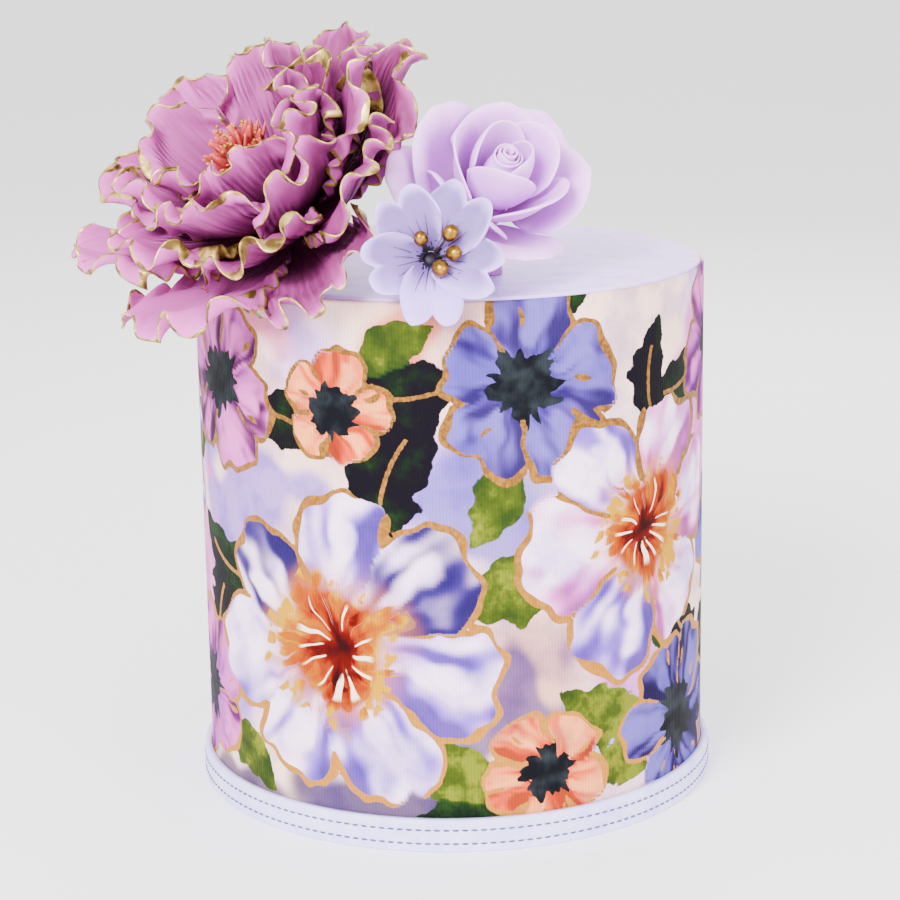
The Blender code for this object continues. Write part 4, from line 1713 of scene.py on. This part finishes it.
@dataclass
class CoralStamens:
    """The heap of coral stamens in the middle of the peony, on a low dome, with seeds of pollen."""

    fan: Fan
    dome_radius: float = 8.5 * MM
    dome_rise: float = 9.5 * MM
    stamens: int = 58
    length: Pair = (6.5 * MM, 10 * MM)
    foot_radius: float = 1.45 * MM
    spread_deg: float = 74
    seeds: int = 34
    finish: StamenFinish = StamenFinish()

    def build(self) -> bpy.types.Object:
        """The heap, in place."""
        bm = bmesh.new()
        tip = bm.verts.layers.float.new("tip")
        seed = bm.verts.layers.float.new("seed")
        middle = Vector((0, 0, self.fan.core_radius + self.dome_rise))
        foot = Vector((0, 0, self.fan.core_radius + FIT_GAP))
        bmesh.ops.create_uvsphere(
            bm, u_segments=20, v_segments=12, radius=self.dome_radius, matrix=Matrix.Translation(middle)
        )
        add_rod(bm, foot, middle, (4 * MM, 5 * MM), 12)
        dice = random.Random(8)
        for index in range(self.stamens):
            away = self._direction(index, self.stamens)
            start = middle + away * self.dome_radius * 0.75
            reach = dice.uniform(*self.length)
            heading = (away + Vector((dice.uniform(-0.2, 0.2), dice.uniform(-0.2, 0.2), 0.35))).normalized()
            self._filament(bm, tip, start, heading, reach, dice)
        for index in range(self.seeds):
            away = self._direction(dice.uniform(0, self.stamens * 0.8), self.stamens)
            away = (away + Vector((dice.uniform(-0.15, 0.15), dice.uniform(-0.15, 0.15), 0.2))).normalized()
            spot = middle + away * (self.dome_radius + dice.uniform(3, 7.5) * MM)
            made = bmesh.ops.create_icosphere(
                bm, subdivisions=1, radius=dice.uniform(0.5, 0.85) * MM, matrix=Matrix.Translation(spot)
            )
            for vert in made["verts"]:
                vert[seed] = 1.0
        bm.transform(self.fan.matrix)
        return hand_over("coral_stamens", bm, self.finish.material(), ["peony_stamens"])

    def _direction(self, index: float, count: int) -> Vector:
        """A direction from the dome's middle, evenly spread over its top.

        Args:
            index: The stamen's place, from the top down.
            count: How many there are.

        Returns:
            The direction.
        """
        tilt = math.radians(self.spread_deg) * math.sqrt((index + 0.5) / count)
        turn = index * GOLDEN_ANGLE
        return Vector((math.sin(tilt) * math.cos(turn), math.sin(tilt) * math.sin(turn), math.cos(tilt)))

    def _filament(
        self,
        bm: bmesh.types.BMesh,
        tip: bmesh.types.BMLayerItem,
        start: Vector,
        heading: Vector,
        reach: float,
        dice: random.Random,
    ) -> None:
        """One flattened, pointed stamen that bends towards its tip.

        Args:
            bm: The heap's mesh.
            tip: The layer that keeps how near its tip each point lies.
            start: Its foot.
            heading: Where it points.
            reach: Its length.
            dice: The heap's random draws.
        """
        made = bmesh.ops.create_uvsphere(bm, u_segments=8, v_segments=10, radius=1)
        bend = dice.uniform(0.5, 2.6) * MM
        turn = Matrix.Rotation(dice.uniform(0, TAU), 4, "Z")
        place = Matrix.Translation(start) @ aimed(heading) @ turn
        for vert in made["verts"]:
            share = (vert.co.z + 1) / 2
            ring = max(math.sqrt(max(0.0, 1 - vert.co.z**2)), 0.001)
            swell = (0.7 + 0.5 * math.sin(math.pi * min(share * 1.1, 1))) * (1 - 0.7 * share**5)
            breadth = self.foot_radius * swell * (0 if ring < 0.01 else 1) / ring
            vert.co.x = vert.co.x * breadth + bend * share**2
            vert.co.y *= breadth * 0.5
            vert.co.z = share * reach
            vert[tip] = share
            vert.co = place @ vert.co


@dataclass
class RolledBud:
    """The middle of the rose: one strip of paste rolled into a tight spiral, narrow at the top."""

    fan: Fan
    turns: float = 3.3
    inner_radius: float = 0.7 * MM
    outer_radius: float = 5.6 * MM
    foot_rise: float = 1.0 * MM
    top_rise: float = 20.0 * MM
    thickness: float = 0.55 * MM
    columns: int = 150
    rows: int = 28
    finish: PetalFinish | None = None

    def build(self) -> bpy.types.Object:
        """The bud, in place."""
        bm, across, rise = flat_sheet(self.columns, self.rows)
        round_by = (across + 1) / 2
        turn = TAU * self.turns * round_by
        radius = self.inner_radius + (self.outer_radius - self.inner_radius) * round_by**0.85
        belly = 0.55 + 0.62 * np.sin(math.pi * (0.12 + 0.80 * rise)) ** 1.2
        lip = 0.9 * MM * smooth(rise, 0.86, 1.0) * (0.3 + round_by)
        low = self.fan.core_radius + self.foot_rise
        fall = 3.2 * MM * round_by + 0.8 * MM * np.sin(1.5 * turn + 0.5) * round_by
        top = self.fan.core_radius + self.top_rise - fall
        height = low + (top - low) * rise
        reach = radius * belly + lip
        local = np.stack([reach * np.cos(turn), reach * np.sin(turn), height], axis=1)
        move_points(bm, moved(local, self.fan.matrix))
        bmesh.ops.recalc_face_normals(bm, faces=bm.faces)
        values = {
            "rim": (1 - rise) * (top - low) / MM,
            "tone": np.full_like(rise, 0.3),
            "vein": np.full_like(rise, SugarFlower.NO_VEIN),
        }
        made = hand_over("rose_swirl", bm, self.finish.material(), ["rose_bud"], values)
        give_thickness(made, self.thickness)
        return made


@dataclass
class Blossom(SugarFlower):
    """The small blossom, with pressed and painted veins on its heart-shaped petals."""

    LOBE_POWER = 3.0
    NOTCH_POWER = 2.4

    veins: tuple[float, ...] = (-0.56, -0.22, 0.12, 0.48)
    vein_end: float = 0.66
    vein_width: Pair = (0.36, 0.13)
    press: float = 0.28 * MM
    press_width: float = 0.45 * MM
    cup: float = 0.9 * MM
    overlap: float = 1.0 * MM
    heart_radius: float = 2.9 * MM
    heart_ball: float = 2.6 * MM
    setback: float = 4.6 * MM

    def outline_across(self, u: Array) -> Array:
        """Two round lobes with a notch between them, as a share of the petal's length.

        Args:
            u: -1 to 1 across the petal.

        Returns:
            The share at each point.
        """
        off = 2 * np.abs(u) - 1
        notch = self.fan.notch * np.abs(off) ** self.NOTCH_POWER
        return 1 - np.where(off < 0, notch, self.fan.round_off * np.abs(off) ** self.LOBE_POWER)

    def vein_distance(self, u: Array, v: Array) -> Array:
        """The distance across to the nearest vein, as a share of half the petal's width."""
        spread = np.stack([u - side * (0.55 + 0.45 * v / self.vein_end) for side in self.veins])
        return np.abs(spread).min(axis=0)

    def face_relief(self, u: Array, v: Array, half: Array) -> Array:
        """Presses the veins in, and cups each lobe a little.

        Args:
            u: -1 to 1 across the petal.
            v: 0 to 1 along it.
            half: Half the petal's width there.

        Returns:
            The relief at each point, in metres.
        """
        near = np.exp(-((self.vein_distance(u, v) * half / self.press_width) ** 2))
        reach = smooth(v, 0.08, 0.2) * (1 - smooth(v, self.vein_end - 0.2, self.vein_end))
        cup = self.cup * np.cos(2 * math.pi * u) * smooth(v, 0.45, 1.0)
        overlap = self.overlap * u * smooth(v, 0.1, 0.5)
        return self.press * near * reach + cup + overlap

    def vein_marks(self, u: Array, v: Array) -> Array:
        """Thin dark lines that end before the petal's middle, and the dark foot.

        Args:
            u: -1 to 1 across the petal.
            v: 0 to 1 along it.

        Returns:
            How far inside them each point lies, in millimetres.
        """
        half = self.half_width(np.clip(v * 0.93, 0, 1), self.fan.width[1])
        short = 5 * smooth(v, self.vein_end - 0.12, self.vein_end)
        marks = between(self.vein_width, v) - self.vein_distance(u, v) * half / MM - short
        foot = 2.1 + 0.9 * np.sin(9 * u) + 0.6 * np.sin(23 * u + 1) - v * self.fan.length[1] / MM
        return np.maximum(marks, foot)

    def build_heart(self) -> bpy.types.Object:
        """The thick dark middle of the blossom with its stalk and the stub that holds it."""
        bm = bmesh.new()
        ball = self.fan.matrix @ Matrix.Diagonal((1, 1, 0.55, 1))
        bmesh.ops.create_uvsphere(bm, u_segments=28, v_segments=16, radius=self.heart_ball, matrix=ball)
        centre = Vector(self.fan.centre)
        neck = centre + Vector((0, self.setback, -self.setback))
        foot = Vector((centre.x, centre.y + self.setback, CAKE_HEIGHT + FIT_GAP))
        add_rod(bm, foot, neck, (5 * MM, 4 * MM), 24)
        add_rod(bm, neck - Vector((0, 0, MM)), centre, (3.6 * MM, 2.6 * MM), 24)
        local = moved(points_of(bm), self.fan.matrix.inverted())
        away = np.hypot(local[:, 0], local[:, 1])
        turn = np.arctan2(local[:, 1], local[:, 0])
        ragged = self.heart_radius * (1 + 0.12 * np.sin(5 * turn) + 0.10 * np.sin(11 * turn + 1))
        values = {
            "rim": np.full(len(away), 9.0),
            "tone": np.zeros(len(away)),
            "vein": np.where(local[:, 2] > 0, (ragged - away) / MM, self.NO_VEIN),
        }
        return hand_over("blossom_heart", bm, self.finish.material(), ["blossom"], values)


@dataclass
class GiltStamens:
    """Four gilded beads on dark wires, in the middle of the blossom.

    Each bead has its place down and to the right of the middle as one looks at the blossom, its
    distance in front of it, and its radius.
    """

    fan: Fan
    beads: tuple[tuple[float, float, float, float], ...] = (
        (-4.1 * MM, -2.6 * MM, 8.6 * MM, 2.4 * MM),
        (-5.4 * MM, 6.3 * MM, 9.6 * MM, 2.7 * MM),
        (0.6 * MM, 7.3 * MM, 8.8 * MM, 2.5 * MM),
        (5.0 * MM, 3.2 * MM, 8.2 * MM, 2.8 * MM),
    )
    wire_radius: float = 0.35 * MM
    foot_ring: float = 1.8 * MM
    foot_height: float = 2.6 * MM
    egg: Point = (0.94, 0.94, 1.14)
    pinch: float = 0.20
    gold: GoldFinish = GoldFinish()
    wire: PasteFinish = PasteFinish(
        "dark_wire", paint(58, 40, 38), paint(36, 24, 30), mottle=2 * MM, glow=0.0
    )

    def build(self) -> None:
        """Makes each bead with its wire."""
        materials = [self.gold.material(), self.wire.material()]
        for index, (down, right, rise, radius) in enumerate(self.beads):
            bead = Vector((down, right, rise))
            foot = Vector((down, right, 0)).normalized() * self.foot_ring + Vector((0, 0, self.foot_height))
            away = (bead - foot).normalized()
            shape = Matrix.Scale(radius, 4) @ Matrix.Diagonal((*self.egg, 1))
            place = Matrix.Translation(bead) @ aimed(away) @ shape
            bm = bmesh.new()
            bmesh.ops.create_uvsphere(bm, u_segments=32, v_segments=20, radius=1, matrix=place)
            for vert in bm.verts:
                from_middle = vert.co - bead
                outward = from_middle.dot(away)
                pinch = 1 - self.pinch * max(0.0, -outward / radius) ** 2
                vert.co = bead + away * outward + (from_middle - away * outward) * pinch
            count = len(bm.faces)
            add_rod(bm, foot, bead, (self.wire_radius * 1.15, self.wire_radius), 10)
            bm.faces.ensure_lookup_table()
            for face in bm.faces[count:]:
                face.material_index = 1
            bm.transform(self.fan.matrix)
            hand_over(f"gilt_bead_{index + 1}", bm, materials, [f"gold_stamen_{index + 1}"])


@dataclass
class Studio:
    """A pale floor, soft light from all round, one large soft key light and the camera."""

    camera_place: Point = (0.0, -0.8189, 0.3046)
    pitch: float = math.radians(13.215)
    yaw: float = -0.0008
    roll: float = -0.0165
    lens: float = 96.91
    sensor: float = 36.0
    floor_size: float = 24.0
    sky_strength: float = 2.1

    def set_up(self) -> None:
        """Makes the floor, the lights and the camera."""
        self._floor()
        self._sky()
        self._lamp("key", (-0.45, -1.00, 0.80), 0.50, 42.0)
        self._lamp("fill", (0.80, -0.85, 0.35), 0.60, 12.0)
        self._lamp("back", (0.25, 0.85, 0.80), 0.60, 8.0)
        self._camera()

    def _floor(self) -> None:
        """The floor, which isn't part of the cake."""
        bm = bmesh.new()
        bmesh.ops.create_grid(bm, x_segments=4, y_segments=4, size=self.floor_size / 2)
        mesh = bpy.data.meshes.new("pale_floor")
        bm.to_mesh(mesh)
        bm.free()
        mesh.materials.append(FloorFinish().material())
        floor = bpy.data.objects.new("pale_floor", mesh)
        bpy.context.scene.collection.objects.link(floor)

    def _sky(self) -> None:
        """Even white light from all round."""
        world = bpy.data.worlds.new("studio")
        world.use_nodes = True
        shade = world.node_tree.nodes["Background"]
        shade.inputs["Color"].default_value = (1.0, 1.0, 1.0, 1.0)
        shade.inputs["Strength"].default_value = self.sky_strength
        bpy.context.scene.world = world

    def _lamp(self, name: str, place: Point, size: float, power: float) -> None:
        """A square soft light that looks at the flowers.

        Args:
            name: Its name.
            place: Where it stands.
            size: The side of its square.
            power: Its watts.
        """
        lamp = bpy.data.lights.new(name, "AREA")
        lamp.size = size
        lamp.energy = power
        made = bpy.data.objects.new(name, lamp)
        made.location = place
        aim = Vector((0, 0, CAKE_HEIGHT)) - Vector(place)
        made.rotation_euler = aim.to_track_quat("-Z", "Y").to_euler()
        bpy.context.scene.collection.objects.link(made)

    def _camera(self) -> None:
        """The camera, turned as the photograph was taken."""
        lens = bpy.data.cameras.new("camera")
        lens.lens = self.lens
        lens.sensor_width = self.sensor
        lens.clip_start = 0.01
        lens.clip_end = 100
        made = bpy.data.objects.new("camera", lens)
        forward = Vector(
            (
                math.sin(self.yaw) * math.cos(self.pitch),
                math.cos(self.yaw) * math.cos(self.pitch),
                -math.sin(self.pitch),
            )
        )
        right = Vector((math.cos(self.yaw), -math.sin(self.yaw), 0))
        up = right.cross(forward)
        right, up = (
            right * math.cos(self.roll) + up * math.sin(self.roll),
            up * math.cos(self.roll) - right * math.sin(self.roll),
        )
        turn = Matrix((right, up, -forward)).transposed().to_4x4()
        made.matrix_world = Matrix.Translation(self.camera_place) @ turn
        bpy.context.scene.collection.objects.link(made)
        bpy.context.scene.camera = made


PEONY_FAN = Fan(
    centre=(-54 * MM, -30 * MM, 200 * MM),
    axis=(-0.50, -0.36, 0.79),
    core_radius=11 * MM,
    petals=26,
    start=(50, 114),
    middle=(20, 88),
    end=(0, 104),
    length=(42 * MM, 71 * MM),
    width=(18 * MM, 27 * MM),
    base_width=3.6 * MM,
    thickness=0.9 * MM,
    ruffle=(1.0 * MM, 2.6 * MM),
    waves=2.2,
    lifts=((-15, 24), (120, 24), (190, 20)),
    round_off=0.30,
    first=0.14,
    seed=31,
)

ROSE_FAN = Fan(
    centre=(12 * MM, -38 * MM, 202 * MM),
    axis=(0.30, -0.60, 0.74),
    core_radius=7 * MM,
    petals=13,
    start=(34, 110),
    middle=(6, 60),
    end=(-22, 84),
    length=(25 * MM, 40 * MM),
    width=(13 * MM, 22 * MM),
    base_width=2.6 * MM,
    thickness=1.0 * MM,
    ruffle=(0.0, 0.6 * MM),
    waves=1.0,
    lifts=((0, 10), (95, 14), (180, 36), (265, 14)),
    round_off=0.36,
    first=1.0,
    seed=5,
)

BLOSSOM_FAN = Fan(
    centre=(-5.5 * MM, -84.5 * MM, 192 * MM),
    axis=(-0.03, -0.90, 0.42),
    core_radius=2.2 * MM,
    petals=5,
    start=(55, 55),
    middle=(72, 72),
    end=(94, 94),
    length=(23.2 * MM, 23.2 * MM),
    width=(11.6 * MM, 11.6 * MM),
    base_width=1.5 * MM,
    thickness=1.1 * MM,
    ruffle=(0.5 * MM, 0.5 * MM),
    waves=1.0,
    round_off=0.42,
    notch=0.20,
    step=math.radians(72),
    first=-0.02,
    seed=2,
)

PEONY_TRIM = Trim(
    curl=1.15,
    curl_zone=13 * MM,
    curl_pitch=13 * MM,
    overhang=1.3 * MM,
    crinkle=0.35 * MM,
    roll=(0.0, 0.20),
    scallop=0.022,
    side_wave=2.4 * MM,
    ridge=0.42 * MM,
    ridge_pitch=3.2 * MM,
    thin_rim=0.5,
)

ROSE_TRIM = Trim(
    curl=0.12,
    curl_zone=10 * MM,
    curl_pitch=26 * MM,
    roll=(-0.1, 1.15),
    scallop=0.006,
    side_roll=2.0 * MM,
    point=0.05,
    ridge_pitch=9 * MM,
    thin_rim=0.75,
)

BLOSSOM_TRIM = Trim(
    curl=0.25,
    curl_zone=7 * MM,
    curl_pitch=14 * MM,
    scallop=0.012,
    side_wave=0.2 * MM,
    ridge_pitch=6 * MM,
    thin_rim=0.85,
)

# The petal finishes: deep is the dust and painted shade at the foot, dusky the random tone and painted side
# shade, edge the dust and painted highlight at the rim; pleats are painted shade in the grooves.
MAUVE_FINISH = PetalFinish(
    "mauve_petal",
    deep=paint(84, 16, 58),
    body=paint(178, 78, 154),
    dusky_and_shaded=paint(118, 38, 92),
    edge=paint(206, 90, 178),
    deep_end=0.64,
    streak=0.34,
    deep_shade_shift=0.14,
    gilded=True,
    pleat_shade=0.28,
)

LILAC_FINISH = PetalFinish(
    "lilac_petal",
    deep=paint(164, 84, 176),
    body=paint(228, 158, 244),
    dusky_and_shaded=paint(212, 138, 228),
    edge=paint(238, 178, 250),
    deep_end=0.44,
    streak=0.06,
    roughness=0.5,
)

PALE_FINISH = PetalFinish(
    "pale_petal",
    deep=paint(96, 72, 140),
    body=paint(186, 150, 240),
    dusky_and_shaded=paint(120, 94, 160),
    edge=paint(190, 156, 238),
    deep_end=0.50,
    streak=0.05,
    roughness=0.5,
    vein_colour=paint(12, 4, 14),
)


def petal_nodes(flower: str, count: int) -> tuple[str, ...]:
    """The names that a flower's petals have among the solids."""
    return tuple(f"{flower}_petal_{number:02d}" for number in range(1, count + 1))


def dress_cores() -> None:
    """Gives the cores of paste, which show only deep between the petals, their own finish."""
    for node, finish in (
        ("peony_core", PasteFinish("plum_core", paint(92, 24, 66), paint(74, 14, 50))),
        ("rose_core", PasteFinish("lilac_core", paint(176, 100, 180), paint(156, 82, 160))),
    ):
        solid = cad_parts[node]
        material = finish.material()
        for place in solid.material_slots:
            place.material = material
        log.info("%s: finished", node)


def main() -> None:
    """Builds the cake from its foot up, and then the studio round it."""
    logging.basicConfig(level=logging.INFO, format="%(relativeCreated)7.0f ms  %(message)s")
    FondantDrum().build()
    PrintedSheet().build()
    StitchedBand().build()
    # The peony's petals get painted shade towards the viewer's right, from their place along X.
    SugarFlower(
        PEONY_FAN, PEONY_TRIM, MAUVE_FINISH, "mauve", Slot.MAUVE, petal_nodes("peony", PEONY_FAN.petals),
        columns=76, rows=60, tone=(-0.25, 0.25), side_shade_span=(-110 * MM, 0.0),
    ).build_petals()
    CoralStamens(PEONY_FAN).build()
    SugarFlower(
        ROSE_FAN, ROSE_TRIM, LILAC_FINISH, "lilac", Slot.LILAC, petal_nodes("rose", ROSE_FAN.petals),
        columns=36, rows=36, rounding=1, tone=(0.0, 0.4), side_shade_span=(0.2, 0.4),
    ).build_petals()
    RolledBud(ROSE_FAN, finish=LILAC_FINISH).build()
    # The blossom's higher petals get painted shade, from their height.
    blossom = Blossom(
        BLOSSOM_FAN, BLOSSOM_TRIM, PALE_FINISH, "pale", Slot.PALE, ("blossom",),
        columns=44, rows=36, rounding=1, tone=(-0.1, 0.2), side_shade_span=(176 * MM, 196 * MM), side_shade_axis=2,
    )
    blossom.build_petals()
    blossom.build_heart()
    GiltStamens(BLOSSOM_FAN).build()
    dress_cores()
    Studio().set_up()


if __name__ == "__main__":
    main()
